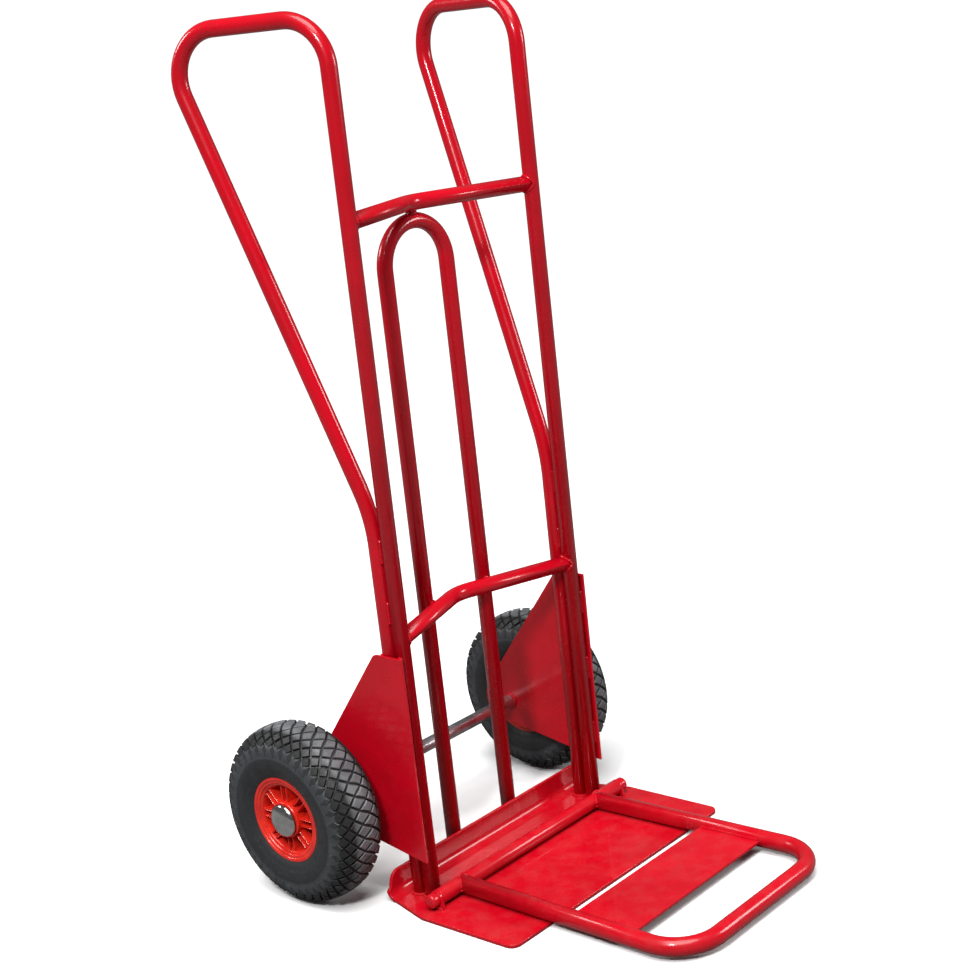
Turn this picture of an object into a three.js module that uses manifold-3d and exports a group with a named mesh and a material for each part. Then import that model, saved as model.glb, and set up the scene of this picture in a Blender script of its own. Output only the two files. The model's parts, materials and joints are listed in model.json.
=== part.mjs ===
// Two-wheeled hand truck with a folding toe, in millimetres, +Z up.
// The origin is on the floor, midway between the two uprights. The toe points to -Y, the wheels stand
// behind at +Y, and "left" is -X.
import * as THREE from "three";
import { mergeVertices } from "three/addons/utils/BufferGeometryUtils.js";
import Module from "manifold-3d";

const wasm = await Module();
wasm.setup();

// Room left between pieces that are welded, seated or pushed together
const GAP = 0.3;
// Room left round a pin or shaft that turns
const TURN_GAP = 0.6;
// How far a cutter reaches past what it cuts
const OVERCUT = 2;

// Frame tube
const TUBE_OD = 22.5;
const TUBE_WALL = 2;
const BEND_RADIUS = 62;

// Uprights and the side loops that form the handles
const UPRIGHT_HALF_SPACING = 182.1;
const HANDLE_HEIGHT = 1197.6;
const HANDLE_REACH = 250.5;
// How much wider than the uprights the handles and the tail bends stand, on each side
const HANDLE_FLARE = 58.3;
const TAIL_BEND_HEIGHT = 551;
const TAIL_FLARE = 1.9;
const TAIL_BEND_RADIUS = 250;

// Crossbars and the centre loop
const UPPER_BAR_HEIGHT = 942.2;
const LOWER_BAR_HEIGHT = 382;
const LOOP_HALF_WIDTH = 61.7;
// Room between the tails and the bend of the plate's lip, which the loop stands behind
const TAIL_TO_LIP_BEND = 3.4;
const LOOP_TO_BAR = 2;
const LOOP_FOOT_HEIGHT = 9;

// Fixed toe plate
const PLATE_THICKNESS = 5;
const PLATE_FRONT = -194;
// How far each part of the plate reaches beyond the uprights' middles, on each side
const PLATE_OVERHANG = 55.9;
const PLATE_CORNER_RADIUS = 15;
const PLATE_TAPER_START = -28;
const PLATE_REAR_OVERHANG = 31.9;
const LIP_HEIGHT = 40;
const LIP_BEND_RADIUS = 12;
const LIP_TOP_OVERHANG = 24.9;
const LIP_CORNER_RADIUS = 12;

// Folding toe
const TOE_TUBE_OD = 25;
const TOE_TUBE_WALL = 2;
const TOE_FRONT = -420.5;
// How far inside the uprights' middles the toe's front corners and hinged ends are
const TOE_INSET = 20.5;
const TOE_REAR_INSET = 28.7;
const TOE_BEND_RADIUS = 62;
const TOE_REST_GAP = 0.5;
const STRIP_FRONT = -324;
const STRIP_REAR = -224;
const STRIP_THICKNESS = 4;

// Hinge of the folding toe
const HINGE_ROD_DIAMETER = 12;
// Room between the folded toe and the uprights
const FOLDED_CLEARANCE = 5.25;
const HINGE_TUBE_OD = 22;
const LUG_OVERHANG = 20.9;
const LUG_THICKNESS = 5;
const LUG_ROUND = 11;
const LUG_FOOT_HALF_LENGTH = 14;
const HINGE_CAP_DIAMETER = 20;
const HINGE_CAP_LENGTH = 13;
const HINGE_CAP_WALL = 4;

// Axle brackets
const BRACKET_THICKNESS = 4;
const BRACKET_TOP = 360;
const BRACKET_TOP_REACH = 41.5;
const BRACKET_FRONT_FOOT = 62.5;
const BRACKET_AXLE_ROUND = 36;
const BRACKET_CORNER_RADIUS = 10;

// Axle and hubs
const AXLE_DIAMETER = 20;
const AXLE_BEHIND = 160.4;
const SPACER_OD = 30;
const WASHER_OD = 36;
const WASHER_THICKNESS = 1.7;
const CAP_DIAMETER = 48;
const CAP_DOME = 8.5;
const CAP_WALL = 1.5;
const CAP_COLLAR_WALL = 2.2;

// Wheels
const WHEEL_OD = 260;
const TYRE_WIDTH = 85;
const TYRE_WALL = 7;
const TYRE_TO_BRACKET = 16.115;
// Height of the tyre from its seat on the rim to its tread
const TYRE_HEIGHT = 79;
const BEAD_TOE = 20;
const INNER_TUBE_SLACK = 2;
const INNER_TUBE_WALL = 3;
const RIM_FLANGE_RISE = 11.3;
const RIM_FLANGE_FACE = 9.3;
const RIM_FLANGE_INNER = 30;
const RIM_HALF_WIDTH = 36;
const RIM_WALL = 4.5;
const RIM_WEB = 3.5;
const BOSS_RADIUS = 27;
const RIB_PAIRS = 8;
const RIB_SPACING = 10;
const RIB_THICKNESS = 2.6;
const RIB_RECESS = 6;
const BEARING_OD = 42;
const BEARING_WIDTH = 12;
const HUB_BORE = 28;
const VALVE_DIAMETER = 8;
// How much the hole in the inner tube is smaller in radius than the valve
const VALVE_GRIP = 1;
const VALVE_LENGTH = 15;
const VALVE_OFFSET = 14;
const VALVE_CAP_DIAMETER = 9.5;
const VALVE_CAP_LENGTH = 8;

// Roundness of the solids
const TUBE_SIDES = 10;
const BEND_STEPS = 6;
const SLIGHT_BEND_STEPS = 3;
const WHEEL_SEGMENTS = 24;
const SMALL_SEGMENTS = 16;
const ARC_STEPS = 6;
const CAVITY_SIDES = 8;

// Sizes that follow from the ones above
const tubeRadius = TUBE_OD / 2;
const tailBehind = TUBE_OD + GAP;
const handleSpread = UPRIGHT_HALF_SPACING + HANDLE_FLARE;
const tailSpread = UPRIGHT_HALF_SPACING + TAIL_FLARE;
const plateHalfWidth = UPRIGHT_HALF_SPACING + PLATE_OVERHANG;
const plateRearHalfWidth = UPRIGHT_HALF_SPACING + PLATE_REAR_OVERHANG;
const lipTopHalfWidth = UPRIGHT_HALF_SPACING + LIP_TOP_OVERHANG;
const lipRear = tailBehind + tubeRadius + TAIL_TO_LIP_BEND + LIP_BEND_RADIUS + PLATE_THICKNESS;
const loopDepth = lipRear + GAP + tubeRadius;
const toeHalfWidth = UPRIGHT_HALF_SPACING - TOE_INSET;
const toeRearHalfWidth = UPRIGHT_HALF_SPACING - TOE_REAR_INSET;
const tubeFoot = PLATE_THICKNESS + GAP;
const axleHeight = WHEEL_OD / 2;
const axleRadius = AXLE_DIAMETER / 2;
const hingeY = -tubeRadius - FOLDED_CLEARANCE - TOE_TUBE_OD / 2;
const hingeZ = PLATE_THICKNESS + TOE_REST_GAP + TOE_TUBE_OD / 2;
const hingeRodRadius = HINGE_ROD_DIAMETER / 2;
const lugInnerFace = UPRIGHT_HALF_SPACING + LUG_OVERHANG;
const lugOuterFace = lugInnerFace + LUG_THICKNESS;
const lipFront = lipRear - PLATE_THICKNESS;
const tailLean = (tailSpread - UPRIGHT_HALF_SPACING) / (TAIL_BEND_HEIGHT - tubeFoot);
const tailSpreadAtBracket = UPRIGHT_HALF_SPACING + tailLean * (BRACKET_TOP - tubeFoot);
const bracketInnerFace = tailSpreadAtBracket + tubeRadius + GAP;
const bracketOuterFace = bracketInnerFace + BRACKET_THICKNESS;
const sectionRadius = TYRE_WIDTH / 2;
const sectionCentre = WHEEL_OD / 2 - sectionRadius;
const wheelHalfTrack = bracketOuterFace + TYRE_TO_BRACKET + sectionRadius;
const rimSeatRadius = WHEEL_OD / 2 - TYRE_HEIGHT;
const rimFlangeRadius = rimSeatRadius + RIM_FLANGE_RISE;
const rimMouthRadius = rimFlangeRadius - RIM_FLANGE_FACE;
const hubInnerEnd = wheelHalfTrack - RIM_HALF_WIDTH;
const hubOuterEnd = wheelHalfTrack + RIM_HALF_WIDTH;
const capStart = hubOuterEnd + GAP + WASHER_THICKNESS + GAP;

// Colours and finishes
const redCoat = new THREE.MeshStandardMaterial({ color: 0xc8102e, roughness: 0.3, metalness: 0.1 });
const redPlastic = new THREE.MeshStandardMaterial({ color: 0xd42a20, roughness: 0.35, metalness: 0 });
const blackRubber = new THREE.MeshStandardMaterial({ color: 0x1d1f21, roughness: 0.8, metalness: 0 });
const tubeRubber = new THREE.MeshStandardMaterial({ color: 0x141414, roughness: 0.6, metalness: 0 });
const zincSteel = new THREE.MeshStandardMaterial({ color: 0xb9bcc0, roughness: 0.4, metalness: 1 });
const chromeSteel = new THREE.MeshStandardMaterial({ color: 0xd5d8da, roughness: 0.15, metalness: 1 });
const blackPlastic = new THREE.MeshStandardMaterial({ color: 0x0f0f10, roughness: 0.5, metalness: 0 });

const point = (x, y, z) => new THREE.Vector3(x, y, z);

// A line of straight runs joined by round bends. Each straight is one step and each bend a few even ones.
class BentLine extends THREE.Curve {
  constructor(corners, bends) {
    super();
    this.places = [corners[0]];
    this.headings = [corners[1].clone().sub(corners[0]).normalize()];
    for (let i = 1; i < corners.length - 1; i++) this.addBend(corners, i, bends[i - 1]);
    this.places.push(corners.at(-1));
    this.headings.push(corners.at(-1).clone().sub(corners.at(-2)).normalize());
    this.steps = this.places.length - 1;
  }

  addBend(corners, i, { radius, steps }) {
    const into = corners[i].clone().sub(corners[i - 1]).normalize();
    const out = corners[i + 1].clone().sub(corners[i]).normalize();
    const turn = into.angleTo(out);
    const axis = into.clone().cross(out).normalize();
    const start = corners[i].clone().addScaledVector(into, -radius * Math.tan(turn / 2));
    const centre = start.clone().addScaledVector(axis.clone().cross(into), radius);
    const joined = start.distanceTo(this.places.at(-1)) < 1e-6 ? 1 : 0;
    for (let k = joined; k <= steps; k++) {
      const angle = (turn * k) / steps;
      this.places.push(start.clone().sub(centre).applyAxisAngle(axis, angle).add(centre));
      this.headings.push(into.clone().applyAxisAngle(axis, angle));
    }
  }

  getPointAt(u) {
    return this.places[Math.round(u * this.steps)].clone();
  }

  getTangentAt(u) {
    return this.headings[Math.round(u * this.steps)].clone();
  }

  getPoint(u) {
    return this.getPointAt(u);
  }
}

function polygon(radius, sides) {
  const corner = (i) => (2 * Math.PI * i) / sides;
  return Array.from({ length: sides }, (_, i) =>
    new THREE.Vector2(radius * Math.cos(corner(i)), radius * Math.sin(corner(i))));
}

// A hollow tube with open ends along a bent line
function bentTube(line, diameter, wall) {
  const section = new THREE.Shape(polygon(diameter / 2, TUBE_SIDES));
  section.holes.push(new THREE.Path(polygon(diameter / 2 - wall, TUBE_SIDES)));
  return new THREE.ExtrudeGeometry(section, { steps: line.steps, extrudePath: line });
}

// A flat sheet drawn in the plane across X, standing from x to x + thickness
function sheetAcrossX(shape, x, thickness) {
  const sheet = new THREE.ExtrudeGeometry(shape, {
    depth: thickness, bevelEnabled: false, steps: 1, curveSegments: ARC_STEPS,
  });
  const toRow = new THREE.Matrix4().makeBasis(point(0, 1, 0), point(0, 0, 1), point(1, 0, 0));
  return sheet.applyMatrix4(toRow).translate(x, 0, 0);
}

// A piece turned about the X axis. Each profile point is [place along X, radius].
function turned(profile, segments) {
  const outline = profile.map(([along, radius]) => new THREE.Vector2(radius, along));
  return new THREE.LatheGeometry(outline, segments).rotateZ(-Math.PI / 2);
}

function turnedRing(profile, segments) {
  return turned([...profile, profile[0]], segments);
}

// A straight ring or sleeve about the X axis
function sleeve(from, to, innerRadius, outerRadius, segments) {
  return turnedRing(
    [[from, innerRadius], [from, outerRadius], [to, outerRadius], [to, innerRadius]], segments);
}

function rod(from, to, radius, segments) {
  return turned([[from, 0], [from, radius], [to, radius], [to, 0]], segments);
}

function toSolid(geometry) {
  const bare = geometry.clone();
  bare.deleteAttribute("normal");
  bare.deleteAttribute("uv");
  const merged = mergeVertices(bare);
  return new wasm.Manifold(new wasm.Mesh({
    numProp: 3,
    vertProperties: new Float32Array(merged.attributes.position.array),
    triVerts: new Uint32Array(merged.index.array),
  }));
}

function fromSolid(solid) {
  const mesh = solid.getMesh();
  const geometry = new THREE.BufferGeometry();
  geometry.setAttribute("position", new THREE.BufferAttribute(new Float32Array(mesh.vertProperties), 3));
  geometry.setIndex(new THREE.BufferAttribute(new Uint32Array(mesh.triVerts), 1));
  return geometry;
}

function cut(geometry, ...cutters) {
  return fromSolid(cutters.reduce((solid, cutter) => solid.subtract(toSolid(cutter)), toSolid(geometry)));
}

// An upright cylinder that leaves the usual gap round a frame tube standing at (x, y)
function uprightCutter(x, y, height) {
  const across = (tubeRadius + GAP) / Math.cos(Math.PI / WHEEL_SEGMENTS);
  return new THREE.CylinderGeometry(across, across, height, WHEEL_SEGMENTS)
    .rotateX(Math.PI / 2).translate(x, y, 0);
}

function sideTube(side) {
  const corners = [
    point(side * UPRIGHT_HALF_SPACING, 0, tubeFoot),
    point(side * UPRIGHT_HALF_SPACING, 0, HANDLE_HEIGHT),
    point(side * handleSpread, HANDLE_REACH, HANDLE_HEIGHT),
    point(side * tailSpread, tailBehind, TAIL_BEND_HEIGHT),
    point(side * UPRIGHT_HALF_SPACING, tailBehind, tubeFoot),
  ];
  const handleBend = { radius: BEND_RADIUS, steps: BEND_STEPS };
  const tailBend = { radius: TAIL_BEND_RADIUS, steps: SLIGHT_BEND_STEPS };
  return bentTube(new BentLine(corners, [handleBend, handleBend, tailBend]), TUBE_OD, TUBE_WALL);
}

// A crossbar that bows to the rear in the middle, its ends cut to sit against the tubes it meets.
// Each neighbour is the [x, y] of an upright tube at that height.
function crossbar(height, depth, neighbours) {
  const corners = [
    point(-UPRIGHT_HALF_SPACING, 0, height),
    point(0, depth, height),
    point(UPRIGHT_HALF_SPACING, 0, height),
  ];
  const bar = bentTube(
    new BentLine(corners, [{ radius: BEND_RADIUS, steps: SLIGHT_BEND_STEPS }]), TUBE_OD, TUBE_WALL);
  const cutters = neighbours.flatMap(([x, y]) => [-1, 1].map((side) =>
    uprightCutter(side * x, y, 4 * TUBE_OD).translate(0, 0, height)));
  return cut(bar, ...cutters);
}

// How far back the lower crossbar bows so that its straight halves just reach the loop's legs
function lowerBarDepth() {
  const reach = TUBE_OD + GAP;
  const share = 1 - LOOP_HALF_WIDTH / UPRIGHT_HALF_SPACING;
  const half = UPRIGHT_HALF_SPACING;
  const a = (half * share) ** 2 - reach ** 2;
  const b = -2 * half ** 2 * loopDepth * share;
  const c = half ** 2 * (loopDepth ** 2 - reach ** 2);
  return (-b - Math.sqrt(b * b - 4 * a * c)) / (2 * a);
}

function centreLoop() {
  const top = UPPER_BAR_HEIGHT - TUBE_OD - LOOP_TO_BAR;
  const corners = [
    point(-LOOP_HALF_WIDTH, loopDepth, LOOP_FOOT_HEIGHT),
    point(-LOOP_HALF_WIDTH, loopDepth, top),
    point(LOOP_HALF_WIDTH, loopDepth, top),
    point(LOOP_HALF_WIDTH, loopDepth, LOOP_FOOT_HEIGHT),
  ];
  const bend = { radius: LOOP_HALF_WIDTH, steps: BEND_STEPS };
  return bentTube(new BentLine(corners, [bend, bend]), TUBE_OD, TUBE_WALL);
}

// The plate seen from the side: flat on the floor, with its rear edge bent up into a lip
function toePlateSection() {
  const outerBend = LIP_BEND_RADIUS + PLATE_THICKNESS;
  const shape = new THREE.Shape();
  shape.moveTo(PLATE_FRONT, 0);
  shape.lineTo(lipRear - outerBend, 0);
  shape.absarc(lipRear - outerBend, outerBend, outerBend, -Math.PI / 2, 0, false);
  shape.lineTo(lipRear, LIP_HEIGHT);
  shape.lineTo(lipFront, LIP_HEIGHT);
  shape.lineTo(lipFront, outerBend);
  shape.absarc(lipFront - LIP_BEND_RADIUS, outerBend, LIP_BEND_RADIUS, 0, -Math.PI / 2, true);
  shape.lineTo(PLATE_FRONT, PLATE_THICKNESS);
  shape.closePath();
  return shape;
}

// The plate seen from above: rounded front corners, sides drawn in towards the rear
function toePlateOutline() {
  const shape = new THREE.Shape();
  const cornerX = plateHalfWidth - PLATE_CORNER_RADIUS;
  const cornerY = PLATE_FRONT + PLATE_CORNER_RADIUS;
  const rear = lipRear + OVERCUT;
  shape.moveTo(-cornerX, PLATE_FRONT);
  shape.lineTo(cornerX, PLATE_FRONT);
  shape.absarc(cornerX, cornerY, PLATE_CORNER_RADIUS, -Math.PI / 2, 0, false);
  shape.lineTo(plateHalfWidth, PLATE_TAPER_START);
  shape.lineTo(plateRearHalfWidth, rear);
  shape.lineTo(-plateRearHalfWidth, rear);
  shape.lineTo(-plateHalfWidth, PLATE_TAPER_START);
  shape.lineTo(-plateHalfWidth, cornerY);
  shape.absarc(-cornerX, cornerY, PLATE_CORNER_RADIUS, Math.PI, 1.5 * Math.PI, false);
  return shape;
}

// The plate seen from the front: the lip's upper corners are rounded off
function toePlateFace() {
  const shape = new THREE.Shape();
  const wide = plateHalfWidth + OVERCUT;
  const cornerX = lipTopHalfWidth - LIP_CORNER_RADIUS;
  const cornerZ = LIP_HEIGHT - LIP_CORNER_RADIUS;
  const shoulder = PLATE_THICKNESS + GAP;
  shape.moveTo(-wide, -OVERCUT);
  shape.lineTo(wide, -OVERCUT);
  shape.lineTo(wide, shoulder);
  shape.lineTo(plateRearHalfWidth + OVERCUT, shoulder);
  shape.lineTo(lipTopHalfWidth, cornerZ);
  shape.absarc(cornerX, cornerZ, LIP_CORNER_RADIUS, 0, Math.PI / 2, false);
  shape.absarc(-cornerX, cornerZ, LIP_CORNER_RADIUS, Math.PI / 2, Math.PI, false);
  shape.lineTo(-plateRearHalfWidth - OVERCUT, shoulder);
  shape.lineTo(-wide, shoulder);
  return shape;
}

function toePlate() {
  const wide = plateHalfWidth + OVERCUT;
  const bent = sheetAcrossX(toePlateSection(), -wide, 2 * wide);
  const settings = { bevelEnabled: false, steps: 1, curveSegments: ARC_STEPS };
  const fromAbove = new THREE.ExtrudeGeometry(toePlateOutline(), {
    ...settings, depth: LIP_HEIGHT + 2 * OVERCUT,
  }).translate(0, 0, -OVERCUT);
  const fromFront = new THREE.ExtrudeGeometry(toePlateFace(), {
    ...settings, depth: lipRear - PLATE_FRONT + 2 * OVERCUT,
  }).rotateX(Math.PI / 2).translate(0, lipRear + OVERCUT, 0);
  return fromSolid(toSolid(bent).intersect(toSolid(fromAbove)).intersect(toSolid(fromFront)));
}

// Where a straight line from (y, z) touches a circle, on the side given by turn
function tangentOn(y, z, centreY, centreZ, radius, turn) {
  const distance = Math.hypot(centreY - y, centreZ - z);
  const towards = Math.atan2(z - centreZ, y - centreY);
  return towards + turn * Math.acos(radius / distance);
}

function axleBracket(side) {
  const front = -tubeRadius;
  const endStart = tangentOn(
    front, BRACKET_FRONT_FOOT, AXLE_BEHIND, axleHeight, BRACKET_AXLE_ROUND, 1);
  const endStop = tangentOn(
    BRACKET_TOP_REACH, BRACKET_TOP, AXLE_BEHIND, axleHeight, BRACKET_AXLE_ROUND, -1);
  const cornerTurn = Math.PI / 2 - endStop;
  const cornerY = BRACKET_TOP_REACH - BRACKET_CORNER_RADIUS * Math.tan(cornerTurn / 2);
  const shape = new THREE.Shape();
  shape.moveTo(front, BRACKET_TOP);
  shape.lineTo(front, BRACKET_FRONT_FOOT);
  shape.absarc(AXLE_BEHIND, axleHeight, BRACKET_AXLE_ROUND, endStart, endStop, false);
  shape.absarc(cornerY, BRACKET_TOP - BRACKET_CORNER_RADIUS, BRACKET_CORNER_RADIUS,
    endStop, Math.PI / 2, false);
  const hole = new THREE.Path(polygon(axleRadius + GAP, SMALL_SEGMENTS)
    .map((corner) => corner.add(new THREE.Vector2(AXLE_BEHIND, axleHeight))));
  shape.holes.push(hole);
  return sheetAcrossX(shape, side > 0 ? bracketInnerFace : -bracketOuterFace, BRACKET_THICKNESS);
}

// Pieces on the axle are turned about X and then carried to the axle's height
const onAxle = (geometry) => geometry.translate(0, AXLE_BEHIND, axleHeight);
const onHinge = (geometry) => geometry.translate(0, hingeY, hingeZ);
const facing = (geometry, side) => (side > 0 ? geometry : geometry.rotateZ(Math.PI));

// Where the inside of a hub cap's dome stands at a radius
function capInside(radius) {
  const share = radius / (CAP_DIAMETER / 2 - CAP_WALL);
  return capStart + (CAP_DOME - CAP_WALL) * Math.sqrt(1 - share ** 2);
}

function axle() {
  const end = capInside(axleRadius + GAP) - GAP;
  return onAxle(rod(-end, end, axleRadius, SMALL_SEGMENTS));
}

function axleSpacer(side) {
  const ring = sleeve(
    bracketOuterFace + GAP, hubInnerEnd - GAP, axleRadius + GAP, SPACER_OD / 2, SMALL_SEGMENTS);
  return onAxle(facing(ring, side));
}

function hubWasher(side) {
  const start = hubOuterEnd + GAP;
  const ring = sleeve(
    start, start + WASHER_THICKNESS, axleRadius + GAP, WASHER_OD / 2, SMALL_SEGMENTS);
  return onAxle(facing(ring, side));
}

// A thin domed cap with a collar inside that grips the axle's end
function hubCap(side) {
  const radius = CAP_DIAMETER / 2;
  const rise = (share) => CAP_DOME * Math.sqrt(1 - share ** 2);
  const shares = [1, 0.9, 0.7, 0.4];
  const outside = shares.map((share) => [capStart + rise(share), radius * share]);
  const innerRadius = radius - CAP_WALL;
  const collarInner = axleRadius + GAP;
  const collarOuter = collarInner + CAP_COLLAR_WALL;
  const profile = [
    [capStart + CAP_DOME, 0],
    [capInside(0), 0],
    [capInside(collarInner), collarInner],
    [capStart, collarInner],
    [capStart, collarOuter],
    [capInside(collarOuter), collarOuter],
    [capInside(0.9 * innerRadius), 0.9 * innerRadius],
    [capStart, innerRadius],
    ...outside,
    [capStart + CAP_DOME, 0],
  ];
  return onAxle(facing(turned(profile, SMALL_SEGMENTS), side));
}

// A tab that stands on the toe plate and carries the hinge rod
function hingeLug(side) {
  const shape = new THREE.Shape();
  const foot = PLATE_THICKNESS + GAP;
  shape.moveTo(hingeY - LUG_FOOT_HALF_LENGTH, foot);
  shape.lineTo(hingeY + LUG_FOOT_HALF_LENGTH, foot);
  shape.absarc(hingeY, hingeZ, LUG_ROUND, 0, Math.PI, false);
  const hole = polygon(hingeRodRadius + GAP, SMALL_SEGMENTS)
    .map((corner) => corner.add(new THREE.Vector2(hingeY, hingeZ)));
  shape.holes.push(new THREE.Path(hole));
  return sheetAcrossX(shape, side > 0 ? lugInnerFace : -lugOuterFace, LUG_THICKNESS);
}

function hingeRod() {
  const end = lugOuterFace + HINGE_CAP_LENGTH - HINGE_CAP_WALL;
  return onHinge(rod(-end, end, hingeRodRadius, SMALL_SEGMENTS));
}

// A blind domed cap on each end of the hinge rod
function hingeCap(side) {
  const start = lugOuterFace + GAP;
  const end = lugOuterFace + HINGE_CAP_LENGTH;
  const radius = HINGE_CAP_DIAMETER / 2;
  const bore = hingeRodRadius + GAP;
  const bottom = end - HINGE_CAP_WALL + GAP;
  const cap = turned([
    [bottom, 0], [bottom, bore], [start, bore], [start, radius],
    [end - HINGE_CAP_WALL, radius], [end, radius / 2], [end, 0],
  ], SMALL_SEGMENTS);
  return onHinge(facing(cap, side));
}

function hingeTube() {
  const half = lugInnerFace - GAP;
  return onHinge(sleeve(
    -half, half, hingeRodRadius + TURN_GAP, HINGE_TUBE_OD / 2, SMALL_SEGMENTS));
}

function toeFrame() {
  const rear = hingeY;
  const corners = [
    point(-toeRearHalfWidth, rear, hingeZ),
    point(-toeHalfWidth, TOE_FRONT, hingeZ),
    point(toeHalfWidth, TOE_FRONT, hingeZ),
    point(toeRearHalfWidth, rear, hingeZ),
  ];
  const bend = { radius: TOE_BEND_RADIUS, steps: BEND_STEPS };
  const frame = bentTube(new BentLine(corners, [bend, bend]), TOE_TUBE_OD, TOE_TUBE_WALL);
  const reach = lugInnerFace;
  const across = (HINGE_TUBE_OD / 2 + GAP) / Math.cos(Math.PI / SMALL_SEGMENTS);
  const behind = new THREE.BoxGeometry(2 * reach, TOE_TUBE_OD, 2 * TOE_TUBE_OD)
    .translate(0, rear + TOE_TUBE_OD / 2, hingeZ);
  return cut(frame, onHinge(rod(-reach, reach, across, SMALL_SEGMENTS)), behind);
}

// The flat strip between the legs of the folding toe
function toeStrip() {
  const legAt = (y) => toeRearHalfWidth
    + ((toeHalfWidth - toeRearHalfWidth) * (hingeY - y)) / (hingeY - TOE_FRONT);
  const inside = (y) => legAt(y) - TOE_TUBE_OD / 2 - GAP;
  const shape = new THREE.Shape([
    new THREE.Vector2(-inside(STRIP_FRONT), STRIP_FRONT),
    new THREE.Vector2(inside(STRIP_FRONT), STRIP_FRONT),
    new THREE.Vector2(inside(STRIP_REAR), STRIP_REAR),
    new THREE.Vector2(-inside(STRIP_REAR), STRIP_REAR),
  ]);
  return new THREE.ExtrudeGeometry(shape, { depth: STRIP_THICKNESS, bevelEnabled: false, steps: 1 })
    .translate(0, 0, hingeZ - STRIP_THICKNESS / 2);
}

// The tyre's section: a round carcass with square shoulders, open between its beads
function tyre() {
  const squareness = 0.8;
  const lip = rimFlangeRadius + GAP;
  const start = Math.asin((lip - sectionCentre) / sectionRadius);
  const seat = rimSeatRadius + GAP;
  const heel = RIM_FLANGE_INNER - GAP;
  const outside = Array.from({ length: 5 }, (_, i) => {
    const angle = start + ((Math.PI / 2 - start) * i) / 4;
    const lift = angle > 0 ? Math.sin(angle) ** squareness : Math.sin(angle);
    return [sectionRadius * Math.cos(angle) ** squareness, sectionCentre + sectionRadius * lift];
  });
  outside[0] = [sectionRadius * Math.cos(start), lip];
  const innerRadius = sectionRadius - TYRE_WALL;
  const inside = [0, 1, 2, 3].map((step) => {
    const angle = Math.PI / 2 - (2 * Math.PI * step) / CAVITY_SIDES;
    return [innerRadius * Math.cos(angle), sectionCentre + innerRadius * Math.sin(angle)];
  });
  const outerHalf = [[BEAD_TOE, seat], [heel, seat], [heel, lip], ...outside];
  const mirrored = (points) => points.map(([along, radius]) => [-along, radius]);
  return turnedRing([
    ...mirrored(outerHalf), ...outerHalf.slice(0, -1).reverse(),
    ...inside.slice().reverse(), ...mirrored(inside.slice(1)),
  ], WHEEL_SEGMENTS);
}

// The valve stands in a gap between two pairs of ribs
const valveTurn = Math.PI / 2 + Math.PI / RIB_PAIRS;

function radialPin(fromRadius, toRadius, radius) {
  return new THREE.CylinderGeometry(radius, radius, toRadius - fromRadius, SMALL_SEGMENTS)
    .translate(0, (toRadius + fromRadius) / 2, 0).rotateX(valveTurn).translate(-VALVE_OFFSET, 0, 0);
}

function innerTube() {
  const outside = sectionRadius - TYRE_WALL - INNER_TUBE_SLACK;
  const ring = (radius) => new THREE.TorusGeometry(sectionCentre, radius, CAVITY_SIDES, SMALL_SEGMENTS)
    .rotateY(Math.PI / 2);
  const mouth = radialPin(rimSeatRadius, sectionCentre, VALVE_DIAMETER / 2 - VALVE_GRIP);
  return cut(ring(outside), ring(outside - INNER_TUBE_WALL), mouth);
}

function valveStem() {
  return radialPin(rimSeatRadius - VALVE_LENGTH, rimSeatRadius + 2 * GAP, VALVE_DIAMETER / 2);
}

function valveCap() {
  const outer = rimSeatRadius - VALVE_LENGTH - GAP;
  return radialPin(outer - VALVE_CAP_LENGTH, outer, VALVE_CAP_DIAMETER / 2);
}

// Half a rim: flange, well, web and hub boss, with pairs of ribs across its open face
function rimHalf() {
  const mid = GAP / 2;
  const seatDepth = RIM_HALF_WIDTH - BEARING_WIDTH - GAP;
  const body = turnedRing([
    [mid, rimSeatRadius], [RIM_FLANGE_INNER, rimSeatRadius],
    [RIM_FLANGE_INNER, rimFlangeRadius], [RIM_HALF_WIDTH, rimFlangeRadius],
    [RIM_HALF_WIDTH, rimMouthRadius], [RIM_FLANGE_INNER, rimSeatRadius - RIM_WALL],
    [RIM_WEB, rimSeatRadius - RIM_WALL], [RIM_WEB, BOSS_RADIUS],
    [RIM_HALF_WIDTH, BOSS_RADIUS], [RIM_HALF_WIDTH, BEARING_OD / 2 + GAP],
    [seatDepth, BEARING_OD / 2 + GAP], [seatDepth, HUB_BORE / 2], [mid, HUB_BORE / 2],
  ], WHEEL_SEGMENTS);
  const ribInner = BOSS_RADIUS - 1;
  const ribOuter = rimSeatRadius - RIM_WALL + 1;
  const ribDepth = RIM_HALF_WIDTH - RIB_RECESS - RIM_WEB + 1;
  let half = toSolid(body);
  for (let pair = 0; pair < RIB_PAIRS; pair++) {
    for (const offset of [-RIB_SPACING / 2, RIB_SPACING / 2]) {
      const rib = new THREE.BoxGeometry(ribDepth, RIB_THICKNESS, ribOuter - ribInner)
        .translate(RIM_WEB - 1 + ribDepth / 2, offset, (ribOuter + ribInner) / 2)
        .rotateX((2 * Math.PI * pair) / RIB_PAIRS);
      half = half.add(toSolid(rib));
    }
  }
  return fromSolid(half);
}

function outerRimHalf(side) {
  return facing(rimHalf(), side);
}

function innerRimHalf(side) {
  const half = facing(rimHalf(), -1);
  const hole = radialPin(rimSeatRadius - 2 * RIM_WALL, rimSeatRadius + OVERCUT,
    VALVE_DIAMETER / 2 + GAP);
  return facing(cut(half, hole), side);
}

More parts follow.
